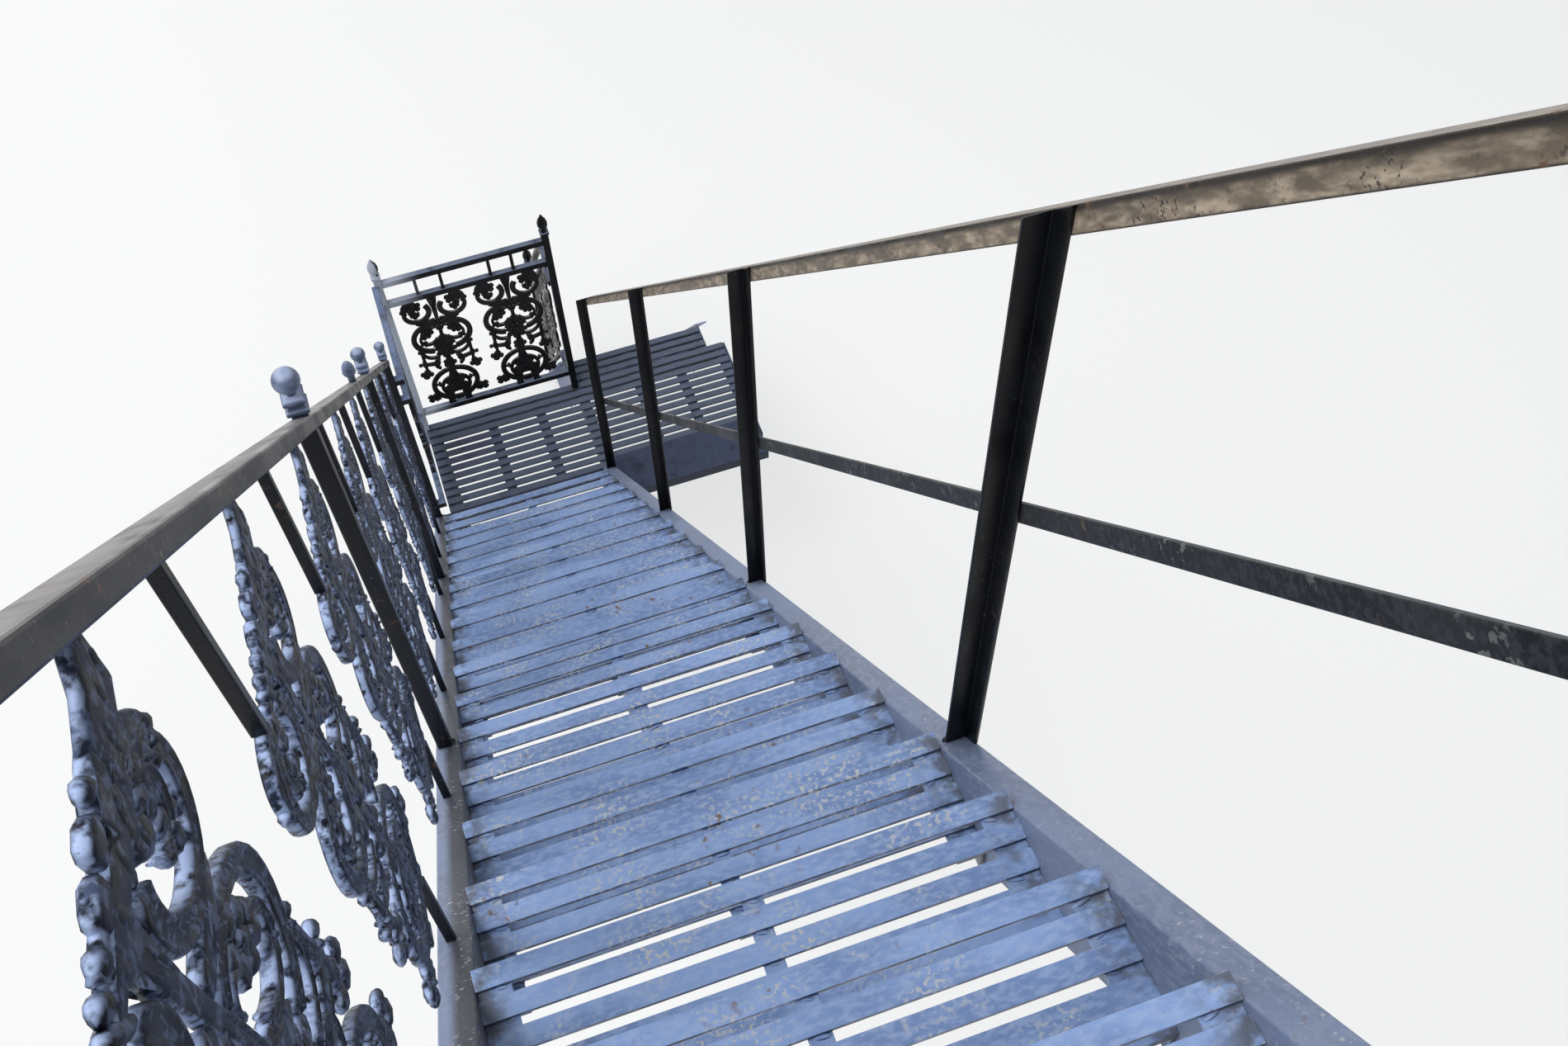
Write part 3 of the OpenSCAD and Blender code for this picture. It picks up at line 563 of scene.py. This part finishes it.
MIDDLE_BLADES = {
    "stem": ((-0.04, 1.6), (0.04, 1.6), (0.035, 2.4), (0.045, 2.7), (0.045, 2.85), (0.10, 3.05),
             (-0.10, 3.05), (-0.045, 2.85), (-0.045, 2.7), (-0.035, 2.4)),
    "neck": ((-0.05, 0.9), (0.05, 0.9), (0.06, 1.5), (-0.06, 1.5)),
    "skirt": ((-0.2, 0.30), (0.2, 0.30), (0.05, 1.0), (-0.05, 1.0)),
    "base": ((-0.24, 0.12), (0.24, 0.12), (0.2, 0.2), (-0.2, 0.2)),
}
# Ribs that stand on the wide blades, drawn on both halves: centre, half length, half width, turn
RIBS = (((0.015, 2.05), 0.42, 0.020, 89), ((0.03, 2.72), 0.16, 0.018, 92),
        ((0.20, 2.40), 0.14, 0.024, 8), ((0.28, 2.34), 0.12, 0.022, -20),
        ((0.10, 1.84), 0.15, 0.026, 128), ((0.16, 1.76), 0.09, 0.024, 100),
        ((0.46, 1.30), 0.26, 0.018, 89), ((0.32, 1.22), 0.14, 0.022, 14),
        ((0.03, 1.30), 0.16, 0.018, 88), ((0.09, 0.48), 0.16, 0.022, 112),
        ((0.04, 0.74), 0.22, 0.020, 96), ((0.14, 0.17), 0.08, 0.022, 80))
# On the raked castings only: the leaf that rises to the rail and its back, the ribs along
# them, and the blocks and beads on the back
CREST_BLADES = (((0.36, 2.88), (0.50, 2.86), (0.54, 3.00), (0.64, 3.05), (0.66, rail_v(0.66)),
                 (0.59, rail_v(0.59)), (0.50, 3.20), (0.36, 3.15)),
                ((-0.28, 2.92), (0.40, 2.88), (0.40, 3.16), (0.32, 3.14), (0.24, 3.08),
                 (0.11, 3.04), (-0.02, 3.01), (-0.28, 2.96)))
CREST_RIBS = (((0.60, 3.13), 0.10, 0.028, 70), ((0.53, 3.08), 0.12, 0.030, 80),
              ((0.45, 3.02), 0.13, 0.030, 84), ((0.37, 2.98), 0.12, 0.028, 76),
              ((0.28, 2.97), 0.11, 0.032, 60), ((0.18, 2.95), 0.11, 0.030, 84),
              ((0.06, 2.93), 0.12, 0.034, 96), ((-0.05, 2.92), 0.11, 0.030, 104),
              ((-0.16, 2.93), 0.10, 0.030, 118), ((0.50, 2.89), 0.07, 0.030, 40),
              ((0.42, 2.86), 0.07, 0.028, 20), ((0.25, 2.85), 0.06, 0.030, 120))
CREST_BLOCKS = (((0.13, 3.02), (0.23, 3.03), (0.235, 3.12), (0.21, 3.14), (0.15, 3.13),
                 (0.13, 3.10)),
                ((0.0, 2.98), (0.11, 3.00), (0.115, 3.08), (0.09, 3.10), (0.03, 3.085),
                 (0.0, 3.06)))
CREST_BEADS = (((0.28, 3.13), 0.036, 0.038, 0), ((-0.06, 3.03), 0.036, 0.038, 0),
               ((-0.14, 3.01), 0.038, 0.040, 20), ((-0.24, 2.97), 0.034, 0.036, 30))


class Pattern:
    """Points and faces of a form, gathered piece by piece. A casting's points are (u, v,
    depth), along and up the guard in steps of UNIT and through it in metres."""

    def __init__(self):
        self.points = []
        self.faces = []

    def rings(self, rings):
        """A closed skin over rings with the same number of points, capped at both ends."""
        start = len(self.points)
        count = len(rings[0])
        for ring in rings:
            self.points.extend(ring)
        for i in range(len(rings) - 1):
            for k in range(count):
                a = start + i * count + k
                b = start + i * count + (k + 1) % count
                self.faces.append((a, b, b + count, a + count))
        last = start + (len(rings) - 1) * count
        self.faces.append(tuple(range(start, start + count))[::-1])
        self.faces.append(tuple(range(last, last + count)))

    def scroll(self, centre, r0, r1, a0, a1, w0, w1):
        """A band with flutes along it, and its ends rounded off."""
        profile = FLUTED if max(w0, w1) > FLUTES_FROM else ROUNDED
        steps = max(FEWEST_RINGS, int(abs(a1 - a0) / RING_DEGREES))
        loop = [(t, h) for t, h in profile] + [(t, -h) for t, h in reversed(profile)]
        rings = []
        for i in range(-1, steps + 2):
            t = min(max(i / steps, -END_STEP / steps), 1 + END_STEP / steps)
            shrink = END_SHARE if i in (-1, steps + 1) else 1.0
            angle = math.radians(a0 + (a1 - a0) * t)
            r = r0 + (r1 - r0) * t
            half = (w0 + (w1 - w0) * t) / 2 * shrink
            rings.append([(centre[0] + (r + half * across) * math.cos(angle),
                           centre[1] + (r + half * across) * math.sin(angle),
                           h * CAST_HALF * shrink) for across, h in loop])
        self.rings(rings)

    def knob(self, centre, long, wide, turn, deep):
        """An egg-shaped knob, or a rib where it is long and narrow."""
        c, s = math.cos(math.radians(turn)), math.sin(math.radians(turn))
        rings = []
        for i in range(KNOB_RINGS):
            along = -math.cos(math.pi * (i + KNOB_POLE) / (KNOB_RINGS - 1 + 2 * KNOB_POLE))
            girth = math.sqrt(max(0.0, 1 - along * along)) * (KNOB_GIRTH + KNOB_GAIN * along)
            ring = []
            for k in range(KNOB_SIDES):
                angle = 2 * math.pi * k / KNOB_SIDES
                p = long * along
                q = wide * girth * math.cos(angle)
                ring.append((centre[0] + p * c - q * s, centre[1] + p * s + q * c,
                             deep * girth * math.sin(angle)))
            rings.append(ring)
        self.rings(rings)

    def leaf(self, centre, size, lobes, turn):
        """Rounded lobes round a boss."""
        wide = min(LOBE_WIDEST, LOBES_ROUND / lobes) * size
        reach = LOBE_REACH * size
        for k in range(lobes):
            angle = turn + 360 * k / lobes
            spot = (centre[0] + reach * math.cos(math.radians(angle)),
                    centre[1] + reach * math.sin(math.radians(angle)))
            self.knob(spot, LOBE_LENGTH * size, wide, angle, CAST_HALF * LOBE_DEEP)
        self.knob(centre, BOSS_SIZE * size, BOSS_SIZE * size, 0, CAST_HALF * BOSS_DEEP)

    def blade(self, outline):
        """A pillowed plate with a raised middle."""
        middle = (sum(p[0] for p in outline) / len(outline),
                  sum(p[1] for p in outline) / len(outline))
        self.rings([[(p[0] + (middle[0] - p[0]) * inset, p[1] + (middle[1] - p[1]) * inset,
                      height * CAST_HALF) for p in outline] for inset, height in PILLOW])


def casting_pattern(crest):
    """The whole casting in pattern units, both halves, with or without a crest."""
    half = Pattern()
    for scroll in SCROLLS.values():
        half.scroll(*scroll)
    for leaf in LEAVES.values():
        half.leaf(*leaf)
    for blade in BLADES.values():
        half.blade(blade)
    for rib in RIBS:
        half.knob(*rib, CAST_HALF * RIB_DEEP)
    whole = Pattern()
    count = len(half.points)
    whole.points = half.points + [(-u, v, d) for u, v, d in half.points]
    whole.faces = half.faces + [tuple(i + count for i in face) for face in half.faces]
    for leaf in MIDDLE_LEAVES.values():
        whole.leaf(*leaf)
    for blade in MIDDLE_BLADES.values():
        whole.blade(blade)
    if crest:
        for blade in CREST_BLADES:
            whole.blade(blade)
        for rib in CREST_RIBS:
            whole.knob(*rib, CAST_HALF * CREST_RIB_DEEP)
        for block in CREST_BLOCKS:
            whole.blade(block)
        for bead in CREST_BEADS:
            whole.knob(*bead, CAST_HALF * BEAD_DEEP)
    return np.array(whole.points), whole.faces


def make_piece(name, points, faces, material, smooth=True):
    """A mesh piece of the stair in the row's frame, with its normals turned outward."""
    mesh = bpy.data.meshes.new(name)
    mesh.from_pydata([tuple(p) for p in points], [], faces)
    work = bmesh.new()
    work.from_mesh(mesh)
    bmesh.ops.recalc_face_normals(work, faces=work.faces)
    work.to_mesh(mesh)
    work.free()
    for face in mesh.polygons:
        face.use_smooth = smooth
    mesh.materials.append(material)
    piece = bpy.data.objects.new(name, mesh)
    bpy.context.scene.collection.objects.link(piece)
    return piece


def hang_casting(name, along, place, warp, material, stands_for, crest=False):
    """One casting. along is 'x' or 'y', the way its guard runs; place is its foot's middle."""
    stretch, tall, fall, lean = warp
    points, faces = casting_pattern(crest)
    u, v, d = points.T
    run = (u * stretch - lean * (v - LEAN_MIDDLE)) * UNIT
    rise = (v * tall - u * stretch * fall) * UNIT
    x, y, z = place
    if along == "y":
        points = np.stack([x + d, y + run, z + rise], axis=1)
    else:
        points = np.stack([x + run, y + d, z + rise], axis=1)
    points += np.array(placed(0, 0, 0))
    piece = make_piece(name, points, faces, material)
    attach(piece, "root")
    if stands_for:
        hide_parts(stands_for)


# The landing's guards: heights, and castings placed by their shares of a span and stretched
# until a row of them fills a share of it

LANDING_RAIL = 0.882
RAIL_DROP = 0.110
RAIL_DEEP = 0.025
BOTTOM_RAIL = 0.090
PANEL = LANDING_RAIL - RAIL_DROP - RAIL_DEEP - BOTTOM_RAIL - RAIL_DEEP
PANEL_TALL = (PANEL - 2 * SEAT_GAP) / UNIT / PATTERN_HEIGHT
FAR_GUARD_Y = SHORT_END_Y - POST / 2
LANDING_RIGHT_POST = -0.652
FAR_SPAN = LANDING_RIGHT_POST - LANDING_LEFT
FAR_SHARES, FAR_FILL = (0.268, 0.716), 0.79
SIDE_GUARD_X = LANDING_LEFT - 0.014
SIDE_SHARE, SIDE_FILL = 0.4925, 0.567

# The lower flight's guard
LOWER_GUARD_X = LOWER_LEFT - FLANGE / 2
LOWER_RUN = LOWER_RISERS * LOWER_GOING
LOWER_RAIL_TOPS = (0.740, 0.636, 0.090)
LOWER_OPENING = LOWER_RAIL_TOPS[1] - RAIL_DEEP - LOWER_RAIL_TOPS[2] - 2 * SEAT_GAP
LOWER_SHARES, LOWER_FILL = (0.231, 0.669), 0.814

LEFT_CASTINGS_Y = (-3.508, -3.117, -2.703, -2.185, -1.795, -1.360, -0.852, -0.432)


def fit(span, count, share):
    """The stretch at which a row of castings takes up a share of a span."""
    return share * span / (count * 2 * PATTERN_HALF * UNIT)


FAR_WARP = (fit(FAR_SPAN, 2, FAR_FILL), PANEL_TALL, 0, 0)
SIDE_WARP = (fit(FAR_GUARD_Y, 1, SIDE_FILL), PANEL_TALL, 0, 0)
LOWER_WARP = (fit(LOWER_RUN, 2, LOWER_FILL), LOWER_OPENING / UNIT / PATTERN_HEIGHT,
              RISER / LOWER_GOING, 0)


def hang_castings():
    for number, y in enumerate(LEFT_CASTINGS_Y, 1):
        hang_casting(f"left_casting_{number}", "y", (GUARD_X, y, slope_z(y) + CASTING_BASE),
                     RAKED_WARP, casting_enamel, "left_castings", True)
    foot = BOTTOM_RAIL + RAIL_DEEP + SEAT_GAP
    for number, share in enumerate(FAR_SHARES, 1):
        hang_casting(f"far_casting_{number}", "x",
                     (LANDING_LEFT + share * FAR_SPAN, FAR_GUARD_Y, foot), FAR_WARP,
                     far_casting_enamel, "far_guard_castings")
    hang_casting("side_casting", "y", (SIDE_GUARD_X, SIDE_SHARE * FAR_GUARD_Y, foot),
                 SIDE_WARP, far_casting_enamel, None)
    for number, share in enumerate(LOWER_SHARES, 1):
        y = LONG_END_Y + share * LOWER_RUN
        z = -(y - LONG_END_Y) * RISER / LOWER_GOING + LOWER_RAIL_TOPS[2] + SEAT_GAP
        hang_casting(f"lower_casting_{number}", "y", (LOWER_GUARD_X, y, z), LOWER_WARP,
                     far_casting_enamel, "lower_guard_castings")


hang_castings()


# Finials: turned balls on square moulded caps, and an acorn. Profiles are (half width or
# radius, height over the seat), and a seat stands proud of the rail at the foot's upper side

SQUARE_CAP = ((0.0100, -0.020), (0.0110, 0.000), (0.0128, 0.002), (0.0150, 0.004), (0.0150, 0.009),
              (0.0120, 0.012), (0.0105, 0.016), (0.0112, 0.020), (0.0145, 0.023),
              (0.0150, 0.028), (0.0125, 0.031), (0.0060, 0.033))
NECK = ((0.0065, 0.031), (0.0058, 0.035), (0.0080, 0.038), (0.0070, 0.044))
ACORN = ((0.0080, -0.010), (0.0080, 0.006), (0.0050, 0.012), (0.0070, 0.015), (0.0130, 0.019),
         (0.0145, 0.024), (0.0125, 0.026), (0.0135, 0.032), (0.0120, 0.040), (0.0085, 0.048),
         (0.0040, 0.054), (0.0005, 0.058))
ACORN_Y = -1.497
ACORN_HALF = 0.007
CAP_HALF = 0.012
SEAT = 0.004
BALL_CENTRE = 0.058
BALL = 0.018
BALL_RINGS = 15
BALL_POLE = 0.2
NECK_SIDES = 24
BALL_SIDES = 28


def finial_spot(y, half):
    """Where a finial's foot stands on the raked handrail."""
    return (GUARD_X, y - PLATE_CENTRE_Y, DECK_Z + slope_z(y - half) + LEFT_RAIL_HEIGHT + SEAT)


def turned(form, profile, centre, sides, turn=0.0):
    """Adds a turned form to a pattern. Four sides make it square, as wide as its profile."""
    grow = math.sqrt(2) if sides == 4 else 1.0
    form.rings([[(centre[0] + r * grow * math.cos(turn + 2 * math.pi * k / sides),
                  centre[1] + r * grow * math.sin(turn + 2 * math.pi * k / sides),
                  centre[2] + z) for k in range(sides)] for r, z in profile])


def set_finials():
    caps = Pattern()
    balls = Pattern()
    steps = [math.pi * (i + BALL_POLE) / (BALL_RINGS - 1 + 2 * BALL_POLE)
             for i in range(BALL_RINGS)]
    ball = [(BALL * math.sin(a), BALL_CENTRE - BALL * math.cos(a)) for a in steps]
    for y in LEFT_POSTS_Y:
        spot = finial_spot(y, CAP_HALF)
        turned(caps, SQUARE_CAP, spot, 4, math.pi / 4)
        turned(balls, NECK, spot, NECK_SIDES)
        turned(balls, ball, spot, BALL_SIDES)
    turned(balls, ACORN, finial_spot(ACORN_Y, ACORN_HALF), NECK_SIDES)
    for name, form, smooth in (("finial_caps", caps, False), ("finial_balls", balls, True)):
        piece = make_piece(name, form.points, form.faces, finial_enamel, smooth)
        if not smooth:
            round_corners(piece, CAP_ROUND, CAP_CORNER)
        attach(piece, "root")
        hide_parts("left_finials")


set_finials()


# Weld beads and anchor bolts, grown by node trees on points

# How far a bead may turn each way about its axes, and its least and greatest scale
BEAD_TURN = (0.15, 0.15, 0.35)
BEAD_SCALE = (0.75, 1.25)
TURN_SEED = 7
SCALE_SEED = 11
BEAD_SIZES = ("Bead length", "Bead width", "Bead height")

# A hexagon's reach to its corners, for a width over its flats of 1
HEXAGON_REACH = 0.577
WASHER_SIDES = 20
WASHER_THICK = 0.003
BOLT_SIZES = ("Head width", "Head height", "Washer width")


def new_tree(name, sizes):
    """An empty geometry tree with named inputs, and its entry node."""
    tree = bpy.data.node_groups.new(name, "GeometryNodeTree")
    tree.interface.new_socket("Geometry", in_out="INPUT", socket_type="NodeSocketGeometry")
    for size, kind in sizes.items():
        tree.interface.new_socket(size, in_out="INPUT", socket_type=kind)
    tree.interface.new_socket("Geometry", in_out="OUTPUT", socket_type="NodeSocketGeometry")
    return tree, add(tree, "NodeGroupInput")


def finish_tree(tree, entry, shape, turn, scale):
    """Sets shape on each point, makes it real, gives it its material and ends the tree."""
    on_points = add(tree, "GeometryNodeInstanceOnPoints",
                    {"Points": entry.outputs["Geometry"], "Instance": shape, "Rotation": turn,
                     "Scale": scale})
    real = add(tree, "GeometryNodeRealizeInstances", {0: on_points.outputs[0]})
    done = add(tree, "GeometryNodeSetMaterial",
               {"Geometry": real.outputs[0], "Material": entry.outputs["Material"]})
    add(tree, "NodeGroupOutput", {0: done.outputs[0]})
    return tree


def bead_tree():
    """A lump of weld metal at each point, turned and sized a little at random."""
    tree, entry = new_tree("weld_beads", {
        **{size: "NodeSocketFloat" for size in BEAD_SIZES}, "Material": "NodeSocketMaterial"})
    ball = add(tree, "GeometryNodeMeshIcoSphere", {"Radius": 1.0, "Subdivisions": 2})
    sizes = add(tree, "ShaderNodeCombineXYZ",
                {axis: entry.outputs[size] for axis, size in enumerate(BEAD_SIZES)})
    lump = add(tree, "GeometryNodeTransform",
               {"Geometry": ball.outputs[0], "Scale": sizes.outputs[0]})
    smooth = add(tree, "GeometryNodeSetShadeSmooth", {0: lump.outputs[0]})
    # A random vector's limits are inputs 0 and 1, a random number's 2 and 3, and they come out
    # at outputs 0 and 1
    turn = add(tree, "FunctionNodeRandomValue",
               {0: tuple(-t for t in BEAD_TURN), 1: BEAD_TURN, "Seed": TURN_SEED},
               data_type="FLOAT_VECTOR")
    scale = add(tree, "FunctionNodeRandomValue",
                {2: BEAD_SCALE[0], 3: BEAD_SCALE[1], "Seed": SCALE_SEED}, data_type="FLOAT")
    return finish_tree(tree, entry, smooth.outputs[0], turn.outputs[0], scale.outputs[1])


def anchor_tree():
    """A hexagon head on a round washer at each point."""
    tree, entry = new_tree("anchor_bolts", {
        **{size: "NodeSocketFloat" for size in BOLT_SIZES}, "Turn": "NodeSocketVector",
        "Material": "NodeSocketMaterial"})
    half_head = add(tree, "ShaderNodeMath",
                    {0: entry.outputs["Head width"], 1: HEXAGON_REACH}, operation="MULTIPLY")
    head = add(tree, "GeometryNodeMeshCylinder",
               {"Vertices": 6, "Radius": half_head.outputs[0],
                "Depth": entry.outputs["Head height"]})
    lift = add(tree, "ShaderNodeMath",
               {0: entry.outputs["Head height"], 1: 0.5, 2: WASHER_THICK},
               operation="MULTIPLY_ADD")
    rise = add(tree, "ShaderNodeCombineXYZ", {2: lift.outputs[0]})
    head_up = add(tree, "GeometryNodeTransform",
                  {"Geometry": head.outputs[0], "Translation": rise.outputs[0]})
    half_washer = add(tree, "ShaderNodeMath", {0: entry.outputs["Washer width"], 1: 0.5},
                      operation="MULTIPLY")
    washer = add(tree, "GeometryNodeMeshCylinder",
                 {"Vertices": WASHER_SIDES, "Radius": half_washer.outputs[0],
                  "Depth": WASHER_THICK})
    washer_up = add(tree, "GeometryNodeTransform",
                    {"Geometry": washer.outputs[0], "Translation": (0, 0, WASHER_THICK / 2)})
    both = add(tree, "GeometryNodeJoinGeometry")
    for part in (head_up, washer_up):
        tree.links.new(part.outputs[0], both.inputs[0])
    return finish_tree(tree, entry, both.outputs[0], entry.outputs["Turn"], (1, 1, 1))


def grow(name, points, tree, sizes, slot):
    """A piece that a node tree grows on points, turned into a plain mesh."""
    mesh = bpy.data.meshes.new(name + "_points")
    mesh.from_pydata(points, [], [])
    seed = bpy.data.objects.new(name + "_points", mesh)
    bpy.context.scene.collection.objects.link(seed)
    growth = seed.modifiers.new("growth", "NODES")
    growth.node_group = tree
    for socket in tree.interface.items_tree:
        if socket.in_out == "INPUT" and socket.name in sizes:
            growth[socket.identifier] = sizes[socket.name]
    seen = seed.evaluated_get(bpy.context.evaluated_depsgraph_get())
    plain = bpy.data.meshes.new_from_object(seen)
    bpy.data.objects.remove(seed)
    piece = bpy.data.objects.new(name, plain)
    bpy.context.scene.collection.objects.link(piece)
    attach(piece, "root")


# Length, width and height of the beads
MIDDLE_BEAD = (0.009, 0.003, 0.003)
END_BEAD = (0.011, 0.0034, 0.0034)
FOOT_BEAD = (0.0045, 0.0045, 0.0035)

# Beads under the tread bars: how far in from the treads' ends, behind a bar's front edge, and
# under its lower face
CLEAT_IN = 0.030
BEAD_BACK = 0.0015
BEAD_UNDER = 0.001

# Beads at a post's foot lie in a row: across the stair in front of a right post, and along
# the stair beside a left one, from behind its middle. They stand off the post and above the
# flange
FOOT_BEADS = 4
RIGHT_STEP, RIGHT_START, RIGHT_OFF = 0.008, TREAD_RIGHT + FLANGE - 0.029, 0.002
LEFT_STEP, LEFT_BACK, LEFT_OFF = 0.007, 0.010, 0.001
FOOT_UP = 0.001

# Width and height of a bolt's head, and width of its washer
PLATE_BOLT = (0.024, 0.010, 0.028)
LEG_BOLT = (0.016, 0.007, 0.022)

# Bolts' places: on the side plate's and the leg plates' faces, out from their middles, and on
# the head plate's, outside the treads and below the top
PLATE_THICK = 0.010
SIDE_BOLTS_Y, SIDE_BOLTS_Z = 0.200, 0.040
HEAD_BOLTS_OUT, HEAD_BOLTS_DOWN = 0.055, (0.035, 0.195)
LEG_HALF = 0.025
LEG_BOLTS = 0.048


def set_welds():
    beads = bead_tree()
    on_treads = []
    on_ends = []
    for j in range(1, TREADS + 1):
        for i in range(BARS - 1):
            y = -j * GOING - i * BAR_PITCH - BEAD_BACK
            z = j * RISER - BAR_THICK - BEAD_UNDER
            on_treads.append(placed(TREAD_LEFT + TREAD_WIDTH / 2, y, z))
            for x in (TREAD_LEFT + CLEAT_IN, TREAD_RIGHT - CLEAT_IN):
                on_ends.append(placed(x, y, z))
    on_feet = []
    for post_y in RIGHT_POSTS_Y:
        y = post_y + RIGHT_OFF
        for k in range(FOOT_BEADS):
            on_feet.append(placed(RIGHT_START + RIGHT_STEP * k, y, slope_z(y) + FOOT_UP))
    for post_y in LEFT_POSTS_Y:
        for k in range(FOOT_BEADS):
            y = post_y - LEFT_BACK + LEFT_STEP * k
            on_feet.append(placed(GUARD_X + POST / 2 + LEFT_OFF, y, slope_z(y) + FOOT_UP))
    for name, points, bead, material, slot in (
            ("tread_middle_welds", on_treads, MIDDLE_BEAD, tread_enamel, "treads"),
            ("tread_end_welds", on_ends, END_BEAD, tread_enamel, "treads"),
            ("post_foot_welds", on_feet, FOOT_BEAD, post_enamel, "guard_bars")):
        grow(name, points, beads, {**dict(zip(BEAD_SIZES, bead)), "Material": material}, slot)


def set_anchors():
    anchors = anchor_tree()
    signs = (-1, 1)
    on_side = [(-PLATE_THICK, a * SIDE_BOLTS_Y, b * SIDE_BOLTS_Z) for a in signs for b in signs]
    on_head = [placed(x, -UPPER_RISERS * GOING, UPPER_RISERS * RISER - down)
               for x in (TREAD_LEFT - HEAD_BOLTS_OUT, TREAD_RIGHT + HEAD_BOLTS_OUT)
               for down in HEAD_BOLTS_DOWN]
    leg_x = LANDING_LEFT + LEG_HALF
    on_legs = [(leg_x + a * LEG_BOLTS, y - PLATE_CENTRE_Y + b * LEG_BOLTS, GROUND_Z + PLATE_THICK)
               for y in (LEG_HALF, SHORT_END_Y - LEG_HALF) for a in signs for b in signs]
    for name, points, bolt, turn in (
            ("wall_plate_anchors", on_side, PLATE_BOLT, (0, -math.pi / 2, 0)),
            ("head_plate_anchors", on_head, PLATE_BOLT, (-math.pi / 2, 0, 0)),
            ("leg_anchors", on_legs, LEG_BOLT, (0, 0, 0))):
        grow(name, points, anchors,
             {**dict(zip(BOLT_SIZES, bolt)), "Turn": turn, "Material": frame_enamel}, "frame")


set_welds()
set_anchors()


# Stage: a pale floor at the ground, soft lamps, and a white surrounding

FLOOR_SIZE = 60
FLOOR_MIDDLE = (-1, -2)
FLOOR_GAP = 0.0005
FLOOR_COLOUR = "#e9e9e7"
# How much of the floor is plain white to the rays that show it, so that it stays pale while it
# keeps the stair's shadow
FLOOR_GLOW = 0.6
WHITE = "#ffffff"
SOFT_COLOUR, SOFT_LIGHT = "#e9eef5", 0.55
# Name, place, aim, size in metres and power in watts
LAMPS = (("overhead_panel", (-5.5, -3.5, 10.0), (-1.0, -2.0, 2.0), 7.0, 760),
         ("right_panel", (5.0, -1.0, 7.0), (-1.0, -2.0, 2.0), 6.0, 110),
         ("far_left_panel", (-4.5, 6.0, 4.0), (-1.0, -1.0, 1.5), 5.0, 160))


def seen_rays(tree):
    """1 for the rays that show the surrounding: the camera's, and those in gloss and glass."""
    rays = add(tree, "ShaderNodeLightPath")
    seen = add(tree, "ShaderNodeMath",
               {0: rays.outputs["Is Camera Ray"], 1: rays.outputs["Is Glossy Ray"]},
               operation="MAXIMUM")
    return add(tree, "ShaderNodeMath",
               {0: seen.outputs[0], 1: rays.outputs["Is Transmission Ray"]},
               operation="MAXIMUM").outputs[0]


def set_floor():
    bpy.ops.mesh.primitive_plane_add(size=FLOOR_SIZE,
                                     location=(*FLOOR_MIDDLE, GROUND_Z - FLOOR_GAP))
    floor = bpy.context.object
    floor.name = "floor"
    plain = bpy.data.materials.new("pale_floor")
    plain.use_nodes = True
    tree = plain.node_tree
    tree.nodes.clear()
    matte = add(tree, "ShaderNodeBsdfDiffuse", {"Color": linear(FLOOR_COLOUR)})
    glow = add(tree, "ShaderNodeEmission", {"Color": linear(WHITE), "Strength": 1.0})
    share = add(tree, "ShaderNodeMath", {0: seen_rays(tree), 1: FLOOR_GLOW},
                operation="MULTIPLY")
    lifted = add(tree, "ShaderNodeMixShader",
                 {0: share.outputs[0], 1: matte.outputs[0], 2: glow.outputs[0]})
    add(tree, "ShaderNodeOutputMaterial", {"Surface": lifted.outputs[0]})
    floor.data.materials.append(plain)


def set_lamps():
    for name, spot, aim, size, power in LAMPS:
        lamp = bpy.data.lights.new(name, "AREA")
        lamp.size = size
        lamp.energy = power
        holder = bpy.data.objects.new(name, lamp)
        bpy.context.scene.collection.objects.link(holder)
        back = Vector(spot) - Vector(aim)
        turn = back.to_track_quat("Z", "Y").to_matrix().to_4x4()
        holder.matrix_world = Matrix.Translation(spot) @ turn


def set_surrounding():
    world = bpy.data.worlds.new("surrounding")
    bpy.context.scene.world = world
    world.use_nodes = True
    tree = world.node_tree
    tree.nodes.clear()
    soft = add(tree, "ShaderNodeBackground",
               {"Color": linear(SOFT_COLOUR), "Strength": SOFT_LIGHT})
    white = add(tree, "ShaderNodeBackground", {"Color": linear(WHITE), "Strength": 1.0})
    both = add(tree, "ShaderNodeMixShader",
               {0: seen_rays(tree), 1: soft.outputs[0], 2: white.outputs[0]})
    add(tree, "ShaderNodeOutputWorld", {"Surface": both.outputs[0]})


soften(BAR_ROUND, *tread_names, "landing_slats", "right_posts", "right_handrail",
       "right_mid_rail", "left_pickets", "far_guard_rails", "lower_treads")
soften(RAIL_ROUND, "left_handrail", "left_posts", "landing_edge_plate", "upper_stringer_left",
       "upper_stringer_right", "landing_legs")
set_camera()
set_floor()
set_lamps()
set_surrounding()
